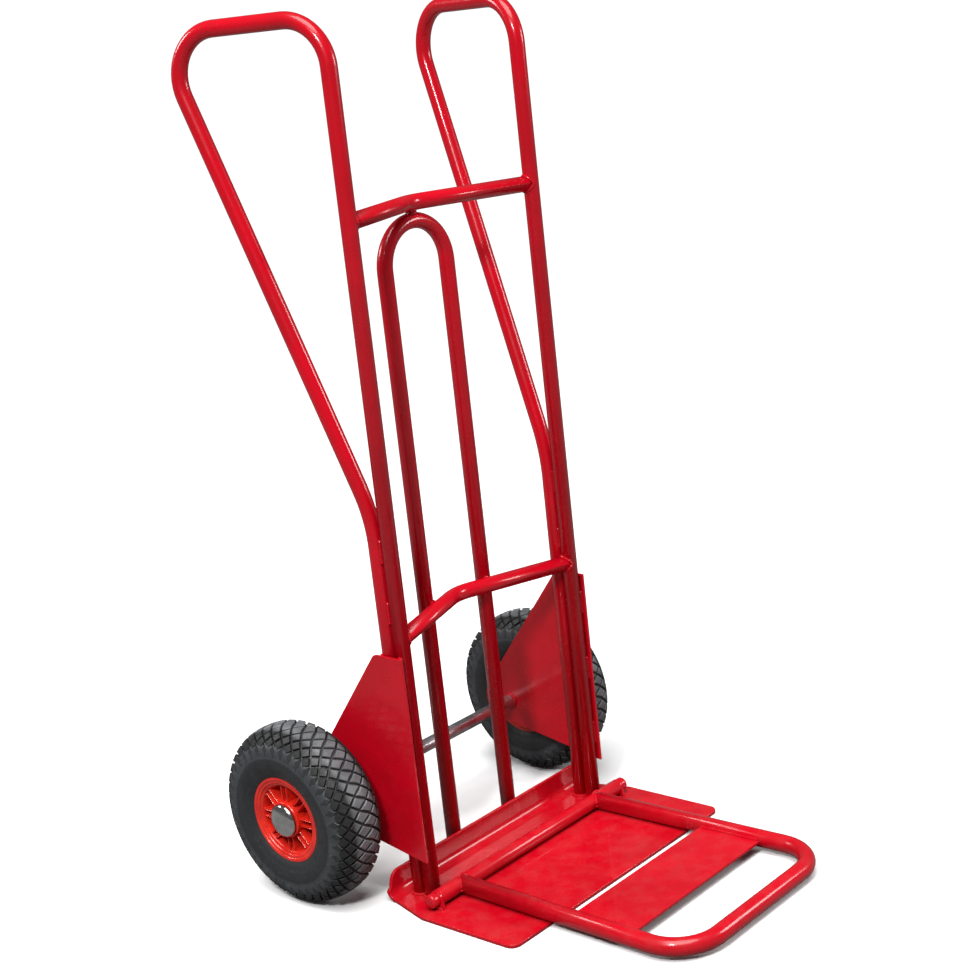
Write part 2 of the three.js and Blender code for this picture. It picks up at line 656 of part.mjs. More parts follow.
function bearing(side, end) {
  const outer = RIM_HALF_WIDTH;
  const ring = sleeve(outer - BEARING_WIDTH, outer - GAP, axleRadius + GAP, BEARING_OD / 2,
    SMALL_SEGMENTS);
  return facing(ring, side * end);
}

const handTruck = new THREE.Group();

function addPiece(group, name, geometry, material) {
  const mesh = new THREE.Mesh(geometry, material);
  mesh.name = name;
  group.add(mesh);
}

function addFrame() {
  const frame = new THREE.Group();
  const upright = [UPRIGHT_HALF_SPACING, 0];
  const tail = [UPRIGHT_HALF_SPACING + tailLean * (LOWER_BAR_HEIGHT - tubeFoot), tailBehind];
  const upperBar = crossbar(UPPER_BAR_HEIGHT, loopDepth, [upright]);
  const lowerBar = crossbar(LOWER_BAR_HEIGHT, lowerBarDepth(), [upright, tail]);
  addPiece(frame, "upper_crossbar", upperBar, redCoat);
  addPiece(frame, "lower_crossbar", lowerBar, redCoat);
  addPiece(frame, "centre_loop", centreLoop(), redCoat);
  addPiece(frame, "toe_plate", toePlate(), redCoat);
  addPiece(frame, "axle", axle(), zincSteel);
  addPiece(frame, "hinge_rod", hingeRod(), redCoat);
  for (const [word, side] of [["left", -1], ["right", 1]]) {
    addPiece(frame, `${word}_side_tube`, sideTube(side), redCoat);
    addPiece(frame, `${word}_axle_bracket`, axleBracket(side), redCoat);
    addPiece(frame, `${word}_axle_spacer`, axleSpacer(side), zincSteel);
    addPiece(frame, `${word}_hub_washer`, hubWasher(side), zincSteel);
    addPiece(frame, `${word}_hub_cap`, hubCap(side), chromeSteel);
    addPiece(frame, `${word}_hinge_lug`, hingeLug(side), redCoat);
    addPiece(frame, `${word}_hinge_cap`, hingeCap(side), redCoat);
  }
  handTruck.add(frame);
}

function addFoldingToe() {
  const toe = new THREE.Group();
  addPiece(toe, "toe_frame_tube", toeFrame(), redCoat);
  addPiece(toe, "toe_strip", toeStrip(), redCoat);
  addPiece(toe, "toe_hinge_tube", hingeTube(), redCoat);
  handTruck.add(toe);
}

function addWheel(word, side) {
  const wheel = new THREE.Group();
  wheel.position.set(side * wheelHalfTrack, AXLE_BEHIND, axleHeight);
  addPiece(wheel, `${word}_tyre`, tyre(), blackRubber);
  addPiece(wheel, `${word}_inner_tube`, facing(innerTube(), side), tubeRubber);
  addPiece(wheel, `${word}_outer_rim_half`, outerRimHalf(side), redPlastic);
  addPiece(wheel, `${word}_inner_rim_half`, innerRimHalf(side), redPlastic);
  addPiece(wheel, `${word}_outer_bearing`, bearing(side, 1), zincSteel);
  addPiece(wheel, `${word}_inner_bearing`, bearing(side, -1), zincSteel);
  addPiece(wheel, `${word}_valve_stem`, facing(valveStem(), side), blackRubber);
  addPiece(wheel, `${word}_valve_cap`, facing(valveCap(), side), blackPlastic);
  handTruck.add(wheel);
}

addFrame();
addFoldingToe();
addWheel("left", -1);
addWheel("right", 1);

export default handTruck;
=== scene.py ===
"""A red two-wheeled hand truck with a folding toe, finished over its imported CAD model.

Everything is in metres in the CAD model's frame: +Z up, the toe towards -Y, the wheels behind at +Y
and "left" at -X. Each sub-assembly is a class that builds its own meshes and dresses them.
"""

from __future__ import annotations

import json
import logging
import math
import random
from dataclasses import dataclass
from enum import Enum
from typing import Any, Iterable, Sequence

import bmesh
import bpy
from mathutils import Matrix, Vector

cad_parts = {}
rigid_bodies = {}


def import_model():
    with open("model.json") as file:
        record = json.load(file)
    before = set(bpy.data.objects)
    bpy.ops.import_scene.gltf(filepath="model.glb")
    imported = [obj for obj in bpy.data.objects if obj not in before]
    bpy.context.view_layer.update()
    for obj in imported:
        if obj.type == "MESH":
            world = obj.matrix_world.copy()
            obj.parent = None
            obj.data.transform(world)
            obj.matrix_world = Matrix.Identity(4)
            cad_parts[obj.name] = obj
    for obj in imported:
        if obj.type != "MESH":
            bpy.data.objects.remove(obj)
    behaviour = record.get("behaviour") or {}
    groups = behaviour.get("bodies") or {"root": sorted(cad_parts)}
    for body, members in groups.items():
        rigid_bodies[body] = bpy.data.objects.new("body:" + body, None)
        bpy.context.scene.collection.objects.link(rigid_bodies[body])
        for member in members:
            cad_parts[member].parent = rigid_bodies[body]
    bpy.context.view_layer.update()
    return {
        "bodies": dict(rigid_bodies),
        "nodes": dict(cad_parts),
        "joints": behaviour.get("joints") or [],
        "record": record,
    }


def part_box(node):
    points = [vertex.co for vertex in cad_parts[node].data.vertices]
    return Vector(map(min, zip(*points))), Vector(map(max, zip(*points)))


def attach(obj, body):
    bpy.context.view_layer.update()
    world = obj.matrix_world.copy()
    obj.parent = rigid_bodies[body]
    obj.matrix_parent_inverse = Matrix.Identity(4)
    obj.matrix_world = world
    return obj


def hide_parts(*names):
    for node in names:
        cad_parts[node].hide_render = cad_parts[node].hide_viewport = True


log = logging.getLogger("hand_truck")

STILL = Vector()
X_AXIS = Vector((1.0, 0.0, 0.0))
Y_AXIS = Vector((0.0, 1.0, 0.0))
Z_AXIS = Vector((0.0, 0.0, 1.0))
MERGE = 1e-6
GAP = 0.0003


def mm(value: float) -> float:
    """Millimetres as metres."""
    return value / 1000.0


class Body(str, Enum):
    """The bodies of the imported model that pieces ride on."""

    FRAME = "frame"
    TOE = "folding_toe"
    LEFT_WHEEL = "left_wheel"
    RIGHT_WHEEL = "right_wheel"


class Side(Enum):
    """The two sides of the truck, each with its sign along X."""

    LEFT = -1.0
    RIGHT = 1.0

    @property
    def word(self) -> str:
        """The side's name as the nodes spell it."""
        return self.name.lower()

    @property
    def wheel(self) -> Body:
        """The wheel body on this side."""
        return Body.LEFT_WHEEL if self is Side.LEFT else Body.RIGHT_WHEEL


class Datums:
    """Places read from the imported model: its nodes' boxes and its joints."""

    def __init__(self, frame: dict[str, Any]) -> None:
        """Keeps the loaded frame.
        """
        self.nodes: dict[str, bpy.types.Object] = frame["nodes"]
        self.joints = {joint["name"]: joint for joint in frame["joints"]}

    def low(self, node: str) -> Vector:
        """The lowest corner of a node's box."""
        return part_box(node)[0]

    def high(self, node: str) -> Vector:
        """The highest corner of a node's box."""
        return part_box(node)[1]

    def middle(self, node: str) -> Vector:
        """The middle of a node's box."""
        low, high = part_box(node)
        return (low + high) / 2

    def pivot(self, joint: str) -> Vector:
        """The point that a joint turns about."""
        return Vector(self.joints[joint]["pos_m"])


# ---------------------------------------------------------------------------------- finishes


class Graph:
    """A node tree with short ways to add, set and join its nodes."""

    def __init__(self, tree: bpy.types.NodeTree) -> None:
        """Wraps a tree.

        Args:
            tree: the node tree to lay nodes out in.
        """
        self.tree = tree

    def add(self, kind: str, values: dict[str, Any] | None = None, **settings: Any) -> bpy.types.Node:
        """Adds a node.

        Args:
            kind: the node's type name.
            values: numbers, colours or sockets for the node's inputs, by input name or index.
            **settings: properties of the node itself.

        Returns:
            The new node.
        """
        node = self.tree.nodes.new(kind)
        for name, setting in settings.items():
            setattr(node, name, setting)
        self.feed(node, values or {})
        return node

    def feed(self, node: bpy.types.Node, values: dict[str, Any]) -> None:
        """Gives a node's inputs plain values, or joins them to sockets."""
        for name, value in values.items():
            if isinstance(value, bpy.types.NodeSocket):
                self.tree.links.new(value, node.inputs[name])
            else:
                node.inputs[name].default_value = value

    def math(self, operation: str, first: Any, second: Any = 0.0,
             clamp: bool = False) -> bpy.types.NodeSocket:
        """Adds a Math node and returns its result socket."""
        node = self.add("ShaderNodeMath", {0: first, 1: second}, operation=operation, use_clamp=clamp)
        return node.outputs[0]

    def ramp(self, value: Any, low: float, high: float, to_low: float = 0.0,
             to_high: float = 1.0) -> bpy.types.NodeSocket:
        """Adds a smooth Map Range node and returns its result socket."""
        node = self.add("ShaderNodeMapRange", {
            "Value": value, "From Min": low, "From Max": high, "To Min": to_low, "To Max": to_high,
        }, interpolation_type="SMOOTHSTEP")
        return node.outputs["Result"]

    def blend(self, share: Any, first: Any, second: Any) -> bpy.types.NodeSocket:
        """Adds a colour Mix node and returns its result socket."""
        node = self.add("ShaderNodeMix", {0: share, 6: first, 7: second}, data_type="RGBA")
        return node.outputs[2]

    def noise(self, place: Any, scale: Any, detail: float = 3.0, rough: float = 0.5) -> bpy.types.NodeSocket:
        """Adds a Noise Texture node and returns its value socket."""
        node = self.add("ShaderNodeTexNoise", {
            "Vector": place, "Scale": scale, "Detail": detail, "Roughness": rough,
        })
        return node.outputs["Fac"]


class Effect:
    """A shader node group shared by the finishes, built the first time it is used."""

    name = "effect"
    takes: dict[str, tuple[str, Any]] = {}
    gives: dict[str, str] = {}
    _kinds = {"value": "NodeSocketFloat", "colour": "NodeSocketColor", "vector": "NodeSocketVector"}

    def tree(self) -> bpy.types.NodeTree:
        """The group's node tree, made on first use."""
        known = bpy.data.node_groups.get(self.name)
        if known is not None:
            return known
        tree = bpy.data.node_groups.new(self.name, "ShaderNodeTree")
        for socket, (kind, default) in self.takes.items():
            made = tree.interface.new_socket(name=socket, in_out="INPUT", socket_type=self._kinds[kind])
            if default is not None:
                made.default_value = default
        for socket, kind in self.gives.items():
            tree.interface.new_socket(name=socket, in_out="OUTPUT", socket_type=self._kinds[kind])
        graph = Graph(tree)
        entry = graph.add("NodeGroupInput").outputs
        exit_node = graph.add("NodeGroupOutput")
        for socket, value in self.draw(graph, entry).items():
            tree.links.new(value, exit_node.inputs[socket])
        return tree

    def draw(self, graph: Graph, entry: Any) -> dict[str, bpy.types.NodeSocket]:
        """Lays out the group's nodes.

        Args:
            graph: the group's node tree.
            entry: the sockets of the group's inputs, by name.

        Returns:
            The socket that each output takes its value from.
        """
        raise NotImplementedError

    def place(self, graph: Graph, **values: Any) -> Any:
        """Adds the group to a material and returns its output sockets."""
        return graph.add("ShaderNodeGroup", values, node_tree=self.tree()).outputs


class Mottle(Effect):
    """Slow, cloudy drift between two shades of one finish."""

    name = "mottle"
    takes = {"Place": ("vector", None), "Light": ("colour", None), "Dark": ("colour", None),
             "Scale": ("value", 12.0)}
    gives = {"Colour": "colour", "Share": "value"}

    def draw(self, graph: Graph, entry: Any) -> dict[str, bpy.types.NodeSocket]:
        """Two sizes of cloud, mixed and stretched to full contrast."""
        broad = graph.noise(entry["Place"], entry["Scale"], 2.0)
        fine = graph.noise(entry["Place"], graph.math("MULTIPLY", entry["Scale"], 6.0), 3.0, 0.6)
        both = graph.math("ADD", graph.math("MULTIPLY", broad, 0.7), graph.math("MULTIPLY", fine, 0.3))
        share = graph.ramp(both, 0.38, 0.62)
        return {"Colour": graph.blend(share, entry["Dark"], entry["Light"]), "Share": share}


class SprayedSkin(Effect):
    """The fine orange-peel skin of a sprayed or moulded surface."""

    name = "sprayed_skin"
    takes = {"Place": ("vector", None), "Scale": ("value", 700.0), "Depth": ("value", 0.1),
             "Wave": ("value", 0.1)}
    gives = {"Normal": "vector"}

    def draw(self, graph: Graph, entry: Any) -> dict[str, bpy.types.NodeSocket]:
        """A fine bump laid over a long, shallow wave."""
        wave = graph.noise(entry["Place"], graph.math("MULTIPLY", entry["Scale"], 0.07), 2.0)
        long_bump = graph.add("ShaderNodeBump", {
            "Strength": entry["Wave"], "Distance": 0.002, "Height": wave})
        grain = graph.noise(entry["Place"], entry["Scale"], 2.0)
        bump = graph.add("ShaderNodeBump", {
            "Strength": entry["Depth"], "Distance": 0.0004, "Height": grain,
            "Normal": long_bump.outputs["Normal"]})
        return {"Normal": bump.outputs["Normal"]}


class FloorDust(Effect):
    """Dust that thins out with height and gathers where a surface faces up."""

    name = "floor_dust"
    takes = {"Place": ("vector", None), "Facing": ("vector", None), "Reach": ("value", 0.25),
             "Amount": ("value", 0.5), "Scale": ("value", 40.0)}
    gives = {"Share": "value"}

    def draw(self, graph: Graph, entry: Any) -> dict[str, bpy.types.NodeSocket]:
        """Height, facing and a patchy cloud multiplied together."""
        height = graph.add("ShaderNodeSeparateXYZ", {0: entry["Place"]}).outputs["Z"]
        far = graph.math("DIVIDE", height, entry["Reach"], clamp=True)
        near = graph.math("SUBTRACT", 1.0, far, clamp=True)
        up = graph.add("ShaderNodeSeparateXYZ", {0: entry["Facing"]}).outputs["Z"]
        facing = graph.ramp(up, -0.2, 0.9, 0.25, 1.0)
        patches = graph.ramp(graph.noise(entry["Place"], entry["Scale"], 5.0, 0.65), 0.35, 0.75)
        share = graph.math("MULTIPLY", graph.math("MULTIPLY", near, facing), patches)
        return {"Share": graph.math("MULTIPLY", share, entry["Amount"], clamp=True)}


class Scuffs(Effect):
    """Thin scratches drawn out in one direction, and the scattered specks between them."""

    name = "scuffs"
    takes = {"Place": ("vector", None), "Stretch": ("vector", (1.0, 1.0, 1.0)), "Scale": ("value", 200.0),
             "Rarity": ("value", 0.7)}
    gives = {"Share": "value"}

    def draw(self, graph: Graph, entry: Any) -> dict[str, bpy.types.NodeSocket]:
        """A stretched cloud cut off near its top, broken up by a broad one."""
        drawn = graph.add("ShaderNodeVectorMath", {0: entry["Place"], 1: entry["Stretch"]},
                          operation="MULTIPLY").outputs[0]
        lines = graph.noise(drawn, entry["Scale"], 4.0, 0.7)
        cut = graph.math("GREATER_THAN", lines, entry["Rarity"])
        soft = graph.math("MULTIPLY", graph.math("SUBTRACT", lines, entry["Rarity"]), 12.0, clamp=True)
        broken = graph.ramp(graph.noise(entry["Place"], 23.0, 2.0), 0.48, 0.6)
        return {"Share": graph.math("MULTIPLY", graph.math("MULTIPLY", cut, soft), broken)}


class AxleRings(Effect):
    """How far a point is from the wheel's axle, for rings and turning marks."""

    name = "axle_rings"
    takes = {"Place": ("vector", None), "Centre": ("vector", None)}
    gives = {"Radius": "value"}

    def draw(self, graph: Graph, entry: Any) -> dict[str, bpy.types.NodeSocket]:
        """The distance from the axle's line, which lies along X."""
        off = graph.add("ShaderNodeVectorMath", {0: entry["Place"], 1: entry["Centre"]},
                        operation="SUBTRACT").outputs[0]
        flat = graph.add("ShaderNodeVectorMath", {0: off, 1: (0.0, 1.0, 1.0)},
                         operation="MULTIPLY").outputs[0]
        length = graph.add("ShaderNodeVectorMath", {0: flat}, operation="LENGTH")
        return {"Radius": length.outputs["Value"]}


@dataclass(frozen=True)
class Finish:
    """One finish: a record slot and a procedural material made once and reused."""

    name: str
    slot: str

    def material(self) -> bpy.types.Material:
        """The finish's material, made on first use."""
        finished = f"{self.name}_finish"
        known = bpy.data.materials.get(finished)
        if known is not None:
            return known
        material = bpy.data.materials.new(finished)
        material.use_nodes = True
        graph = Graph(material.node_tree)
        shader = material.node_tree.nodes["Principled BSDF"]
        place = graph.add("ShaderNodeTexCoord")
        graph.feed(shader, self.dress(graph, place.outputs["Object"], place.outputs["Normal"]))
        return material

    def dress(self, graph: Graph, place: Any, facing: Any) -> dict[str, Any]:
        """Lays out the finish's nodes.

        Args:
            graph: the material's node tree.
            place: the object coordinates socket.
            facing: the object normal socket.

        Returns:
            A value or a socket for each input of the shader that the finish sets.
        """
        raise NotImplementedError


@dataclass(frozen=True)
class PowderCoat(Finish):
    """Glossy red powder coat over steel, dusty and scuffed where it works near the floor."""

    name: str = "red_powder_coat"
    slot: str = "red_powder_coat"
    light: tuple[float, float, float, float] = (0.49, 0.0014, 0.0105, 1.0)
    dark: tuple[float, float, float, float] = (0.42, 0.0010, 0.0080, 1.0)
    rubbed: tuple[float, float, float, float] = (0.26, 0.006, 0.009, 1.0)
    dust: tuple[float, float, float, float] = (0.30, 0.16, 0.14, 1.0)
    dust_reach: float = 0.30
    dust_amount: float = 0.09
    scuff_stretch: tuple[float, float, float] = (1.0, 1.0, 0.12)
    scuff_rarity: float = 0.66
    peel_depth: float = 0.10
    peel_wave: float = 0.16

    def dress(self, graph: Graph, place: Any, facing: Any) -> dict[str, Any]:
        """A cloudy red with rubbed lines and dust on it, under a thin clear skin."""
        red = Mottle().place(graph, Place=place, Light=self.light, Dark=self.dark, Scale=9.0)
        rub = Scuffs().place(graph, Place=place, Stretch=self.scuff_stretch, Scale=230.0,
                             Rarity=self.scuff_rarity)["Share"]
        dust = FloorDust().place(graph, Place=place, Facing=facing, Reach=self.dust_reach,
                                 Amount=self.dust_amount, Scale=38.0)["Share"]
        worn = graph.blend(graph.math("MULTIPLY", rub, 0.7), red["Colour"], self.rubbed)
        base = graph.ramp(red["Share"], 0.0, 1.0, 0.30, 0.21)
        marks = graph.math("MULTIPLY", graph.math("ADD", rub, dust), 0.45)
        rough = graph.math("ADD", base, marks, clamp=True)
        skin = SprayedSkin().place(graph, Place=place, Scale=620.0, Depth=self.peel_depth,
                                   Wave=self.peel_wave)["Normal"]
        return {
            "Base Color": graph.blend(dust, worn, self.dust), "Roughness": rough, "Normal": skin,
            "Coat Weight": graph.math("SUBTRACT", 0.30, dust, clamp=True), "Coat Roughness": 0.04,
            "Specular IOR Level": 0.26,
        }


@dataclass(frozen=True)
class RimPlastic(Finish):
    """Moulded orange-red plastic of the wheel centres."""

    name: str = "red_rim_plastic"
    slot: str = "red_rim_plastic"
    light: tuple[float, float, float, float] = (0.72, 0.026, 0.011, 1.0)
    dark: tuple[float, float, float, float] = (0.58, 0.014, 0.008, 1.0)
    grime: tuple[float, float, float, float] = (0.10, 0.018, 0.014, 1.0)

    def dress(self, graph: Graph, place: Any, facing: Any) -> dict[str, Any]:
        """A cloudy red that darkens with grime in patches, with a faint moulded skin."""
        red = Mottle().place(graph, Place=place, Light=self.light, Dark=self.dark, Scale=30.0)
        patches = graph.ramp(graph.noise(place, 75.0, 5.0, 0.65), 0.56, 0.80, 0.0, 0.45)
        rub = Scuffs().place(graph, Place=place, Scale=420.0, Rarity=0.68)["Share"]
        rough = graph.math("ADD", graph.math("MULTIPLY", graph.math("ADD", patches, rub), 0.35), 0.27)
        skin = SprayedSkin().place(graph, Place=place, Scale=1100.0, Depth=0.08, Wave=0.10)["Normal"]
        return {"Base Color": graph.blend(patches, red["Colour"], self.grime), "Roughness": rough,
                "Normal": skin, "Coat Weight": 0.2, "Coat Roughness": 0.12, "Specular IOR Level": 0.35}


@dataclass(frozen=True)
class TyreRubber(Finish):
    """Black tyre rubber: matt sides with moulded rings, and tread blocks with a painted sheen on their tops
    and painted shade down in their grooves.
    """

    name: str = "tyre_rubber"
    slot: str = "tyre_rubber"
    centre: tuple[float, float, float] = (0.0, 0.0, 0.0)
    side_wall: tuple[float, float, float, float] = (0.014, 0.015, 0.017, 1.0)
    shoulder: tuple[float, float, float, float] = (0.040, 0.044, 0.049, 1.0)
    # The next two colours are a painted sheen (lighter grey) on the block tops and painted shade (darker
    # black) in the grooves.
    tread_top: tuple[float, float, float, float] = (0.125, 0.130, 0.137, 1.0)
    groove: tuple[float, float, float, float] = (0.006, 0.0065, 0.007, 1.0)
    line_radius: float = mm(92)
    groove_radius: float = mm(125.2)
    top_radius: float = mm(128.6)

    def dress(self, graph: Graph, place: Any, facing: Any) -> dict[str, Any]:
        """Bands of rubber by distance from the axle, with painted shade in the grooves and a painted sheen
        on the block tops, plus mould rings, dust and a fine skin.
        """
        radius = AxleRings().place(graph, Place=place, Centre=self.centre)["Radius"]
        side = graph.blend(graph.ramp(radius, self.line_radius - mm(1.5), self.line_radius + mm(2)),
                           self.side_wall, self.shoulder)
        # Painted shade low on the blocks and in the grooves, fading up to a painted sheen on the block tops.
        tread = graph.blend(graph.ramp(radius, self.groove_radius, self.top_radius),
                            self.groove, self.tread_top)
        attribute = graph.add("ShaderNodeAttribute", attribute_name="tread").outputs["Fac"]
        rubber = graph.blend(attribute, side, tread)
        cloud = Mottle().place(graph, Place=place, Light=(1.0, 1.0, 1.0, 1.0),
                               Dark=(0.62, 0.62, 0.63, 1.0), Scale=45.0)
        toned = graph.add("ShaderNodeMix", {0: 1.0, 6: rubber, 7: cloud["Colour"]},
                          data_type="RGBA", blend_type="MULTIPLY").outputs[2]
        dust = graph.ramp(graph.noise(place, 160.0, 6.0, 0.7), 0.52, 0.80, 0.0, 0.16)
        colour = graph.blend(dust, toned, (0.22, 0.21, 0.19, 1.0))
        rings = graph.math("SINE", graph.math("MULTIPLY", radius, 5200.0))
        ring_bump = graph.add("ShaderNodeBump", {"Strength": 0.10, "Distance": 0.0003, "Height": rings})
        grain = graph.noise(place, 1500.0, 3.0, 0.6)
        bump = graph.add("ShaderNodeBump", {"Strength": 0.22, "Distance": 0.0003, "Height": grain,
                                            "Normal": ring_bump.outputs["Normal"]})
        return {"Base Color": colour, "Roughness": graph.ramp(cloud["Share"], 0.0, 1.0, 0.66, 0.50),
                "Normal": bump.outputs["Normal"], "Specular IOR Level": 0.55}


@dataclass(frozen=True)
class TubeRubber(Finish):
    """Thin butyl rubber of the inner tubes, with chalk left on it."""

    name: str = "tube_rubber"
    slot: str = "tube_rubber"

    def dress(self, graph: Graph, place: Any, facing: Any) -> dict[str, Any]:
        """Black rubber with pale powder in patches."""
        black = Mottle().place(graph, Place=place, Light=(0.030, 0.030, 0.032, 1.0),
                               Dark=(0.014, 0.014, 0.015, 1.0), Scale=30.0)
        chalk = graph.ramp(graph.noise(place, 60.0, 5.0, 0.6), 0.55, 0.80, 0.0, 0.4)
        skin = SprayedSkin().place(graph, Place=place, Scale=900.0, Depth=0.25, Wave=0.2)["Normal"]
        return {"Base Color": graph.blend(chalk, black["Colour"], (0.35, 0.34, 0.32, 1.0)),
                "Roughness": graph.ramp(chalk, 0.0, 0.4, 0.5, 0.8), "Normal": skin}


@dataclass(frozen=True)
class ZincSteel(Finish):
    """Zinc-plated steel with a faint spangle and turning marks."""

    name: str = "zinc_steel"
    slot: str = "zinc_steel"

    def dress(self, graph: Graph, place: Any, facing: Any) -> dict[str, Any]:
        """Pale metal, spangled and rubbed, dulled in places."""
        zinc = Mottle().place(graph, Place=place, Light=(0.66, 0.67, 0.69, 1.0),
                              Dark=(0.46, 0.47, 0.49, 1.0), Scale=55.0)
        cells = graph.add("ShaderNodeTexVoronoi", {"Vector": place, "Scale": 260.0}).outputs["Distance"]
        dull = graph.ramp(graph.noise(place, 90.0, 5.0, 0.65), 0.55, 0.80, 0.0, 0.55)
        colour = graph.blend(dull, zinc["Colour"], (0.24, 0.22, 0.20, 1.0))
        rough = graph.math("ADD", graph.math("MULTIPLY", cells, 0.16), graph.math("MULTIPLY", dull, 0.5))
        skin = SprayedSkin().place(graph, Place=place, Scale=1400.0, Depth=0.18, Wave=0.08)["Normal"]
        return {"Base Color": colour, "Metallic": graph.ramp(dull, 0.0, 0.55, 1.0, 0.75),
                "Roughness": graph.math("ADD", rough, 0.27, clamp=True), "Normal": skin}


@dataclass(frozen=True)
class ChromeCap(Finish):
    """Bright plated steel of the hub caps, smudged and finely scratched."""

    name: str = "chrome_cap"
    slot: str = "chrome_cap"
    centre: tuple[float, float, float] = (0.0, 0.0, 0.0)

    def dress(self, graph: Graph, place: Any, facing: Any) -> dict[str, Any]:
        """Bright metal with round polishing marks and dull smudges."""
        bright = Mottle().place(graph, Place=place, Light=(0.62, 0.62, 0.60, 1.0),
                                Dark=(0.44, 0.45, 0.44, 1.0), Scale=40.0)
        smudge = graph.ramp(graph.noise(place, 120.0, 4.0, 0.6), 0.45, 0.75, 0.0, 1.0)
        radius = AxleRings().place(graph, Place=place, Centre=self.centre)["Radius"]
        marks = graph.math("SINE", graph.math("MULTIPLY", radius, 16000.0))
        bump = graph.add("ShaderNodeBump", {"Strength": 0.05, "Distance": 0.0001, "Height": marks})
        rub = Scuffs().place(graph, Place=place, Stretch=(1.0, 0.3, 1.0), Scale=520.0, Rarity=0.64)["Share"]
        rough = graph.math("ADD", graph.math("MULTIPLY", smudge, 0.14), graph.math("MULTIPLY", rub, 0.2))
        colour = graph.blend(graph.math("MULTIPLY", smudge, 0.35), bright["Colour"],
                             (0.46, 0.45, 0.43, 1.0))
        return {"Base Color": colour, "Metallic": 1.0, "Roughness": graph.math("ADD", rough, 0.13),
                "Normal": bump.outputs["Normal"]}


@dataclass(frozen=True)
class BlackPlastic(Finish):
    """Matt black moulded plastic of the valve caps."""

    name: str = "black_plastic"
    slot: str = "black_plastic"

    def dress(self, graph: Graph, place: Any, facing: Any) -> dict[str, Any]:
        """Dark plastic with a moulded grain."""
        black = Mottle().place(graph, Place=place, Light=(0.022, 0.022, 0.023, 1.0),
                               Dark=(0.012, 0.012, 0.013, 1.0), Scale=80.0)
        skin = SprayedSkin().place(graph, Place=place, Scale=1600.0, Depth=0.3, Wave=0.1)["Normal"]
        return {"Base Color": black["Colour"], "Normal": skin,
                "Roughness": graph.ramp(black["Share"], 0.0, 1.0, 0.55, 0.42)}


@dataclass(frozen=True)
class FloorPaint(Finish):
    """The plain pale floor of the studio."""

    name: str = "pale_floor"
    slot: str = ""

    def dress(self, graph: Graph, place: Any, facing: Any) -> dict[str, Any]:
        """Near-white, with a drift too faint to draw the eye."""
        pale = Mottle().place(graph, Place=place, Light=(0.90, 0.90, 0.90, 1.0),
                              Dark=(0.885, 0.885, 0.885, 1.0), Scale=0.6)
        seen = graph.add("ShaderNodeLightPath").outputs["Is Camera Ray"]
        colour = graph.blend(seen, (0.16, 0.16, 0.16, 1.0), pale["Colour"])
        return {"Base Color": colour, "Roughness": 0.9, "Specular IOR Level": 0.1}


# ------------------------------------------------------------------------------ shared shaping


def vertices_of(geometry: Iterable[Any]) -> list[bmesh.types.BMVert]:
    """The vertices among a bmesh operator's results."""
    return [item for item in geometry if isinstance(item, bmesh.types.BMVert)]


def edges_of(geometry: Iterable[Any]) -> list[bmesh.types.BMEdge]:
    """The edges among a bmesh operator's results."""
    return [item for item in geometry if isinstance(item, bmesh.types.BMEdge)]


def ring_of(geometry: Iterable[Any]) -> tuple[list[bmesh.types.BMVert], list[bmesh.types.BMEdge]]:
    """The new vertices among an extrusion's results, and the edges that lie between them."""
    ring = vertices_of(geometry)
    fresh = set(ring)
    return ring, [edge for edge in edges_of(geometry) if all(v in fresh for v in edge.verts)]


def in_scene(name: str, data: bpy.types.ID) -> bpy.types.Object:
    """A new object in the scene."""
    made = bpy.data.objects.new(name, data)
    bpy.context.scene.collection.objects.link(made)
    return made


def round_corner(bm: bmesh.types.BMesh, corners: Sequence[bmesh.types.BMVert], reach: float,
                 steps: int) -> None:
    """Rounds corners of an open sheet.

    Args:
        bm: the sheet's mesh.
        corners: the corner vertices to round.
        reach: how far the rounding starts from a corner.
        steps: edges round a corner.
    """
    bmesh.ops.bevel(bm, geom=list(corners), offset=reach, offset_type="OFFSET", segments=steps, profile=0.5,
                    affect="VERTICES", clamp_overlap=False, material=-1)


def face_out(bm: bmesh.types.BMesh) -> None:
    """Merges doubled vertices and turns every face outwards."""
    bmesh.ops.remove_doubles(bm, verts=bm.verts[:], dist=MERGE)
    bmesh.ops.recalc_face_normals(bm, faces=bm.faces[:])


def round_edges(bm: bmesh.types.BMesh, width: float, steps: int = 2, sharper_than: float = 30.0) -> None:
    """Rounds every edge whose faces meet at more than an angle.

    Args:
        bm: the mesh to work on, its faces already turned outwards.
        width: how far the rounding reaches from the edge.
        steps: faces across the rounding.
        sharper_than: the least angle between two faces, in degrees.
    """
    limit = math.radians(sharper_than)
    sharp = [edge for edge in bm.edges
             if len(edge.link_faces) == 2 and edge.calc_face_angle(0.0) > limit]
    bmesh.ops.bevel(bm, geom=sharp, offset=width, offset_type="OFFSET", segments=steps, profile=0.5,
                    affect="EDGES", clamp_overlap=True, material=-1)


def turn_profile(bm: bmesh.types.BMesh, profile: Sequence[tuple[float, float]], centre: Vector,
                 sign: float, steps: int, closed: bool = True) -> None:
    """Turns a profile about a line along X.

    Args:
        bm: the mesh that receives the turned shape.
        profile: places along X, counted away from the truck's middle, and radii.
        centre: a point on the line to turn about, where the places along X start.
        sign: +1 where the profile runs towards +X, -1 towards -X.
        steps: faces round the full turn.
        closed: whether the profile's last point joins its first.
    """
    points = [bm.verts.new(centre + Vector((sign * along, 0.0, radius))) for along, radius in profile]
    pairs = list(zip(points, points[1:])) + ([(points[-1], points[0])] if closed else [])
    edges = [bm.edges.new(pair) for pair in pairs]
    bmesh.ops.spin(bm, geom=points + edges, cent=centre, axis=X_AXIS, dvec=STILL, angle=math.tau,
                   steps=steps, use_merge=True, use_duplicate=False)


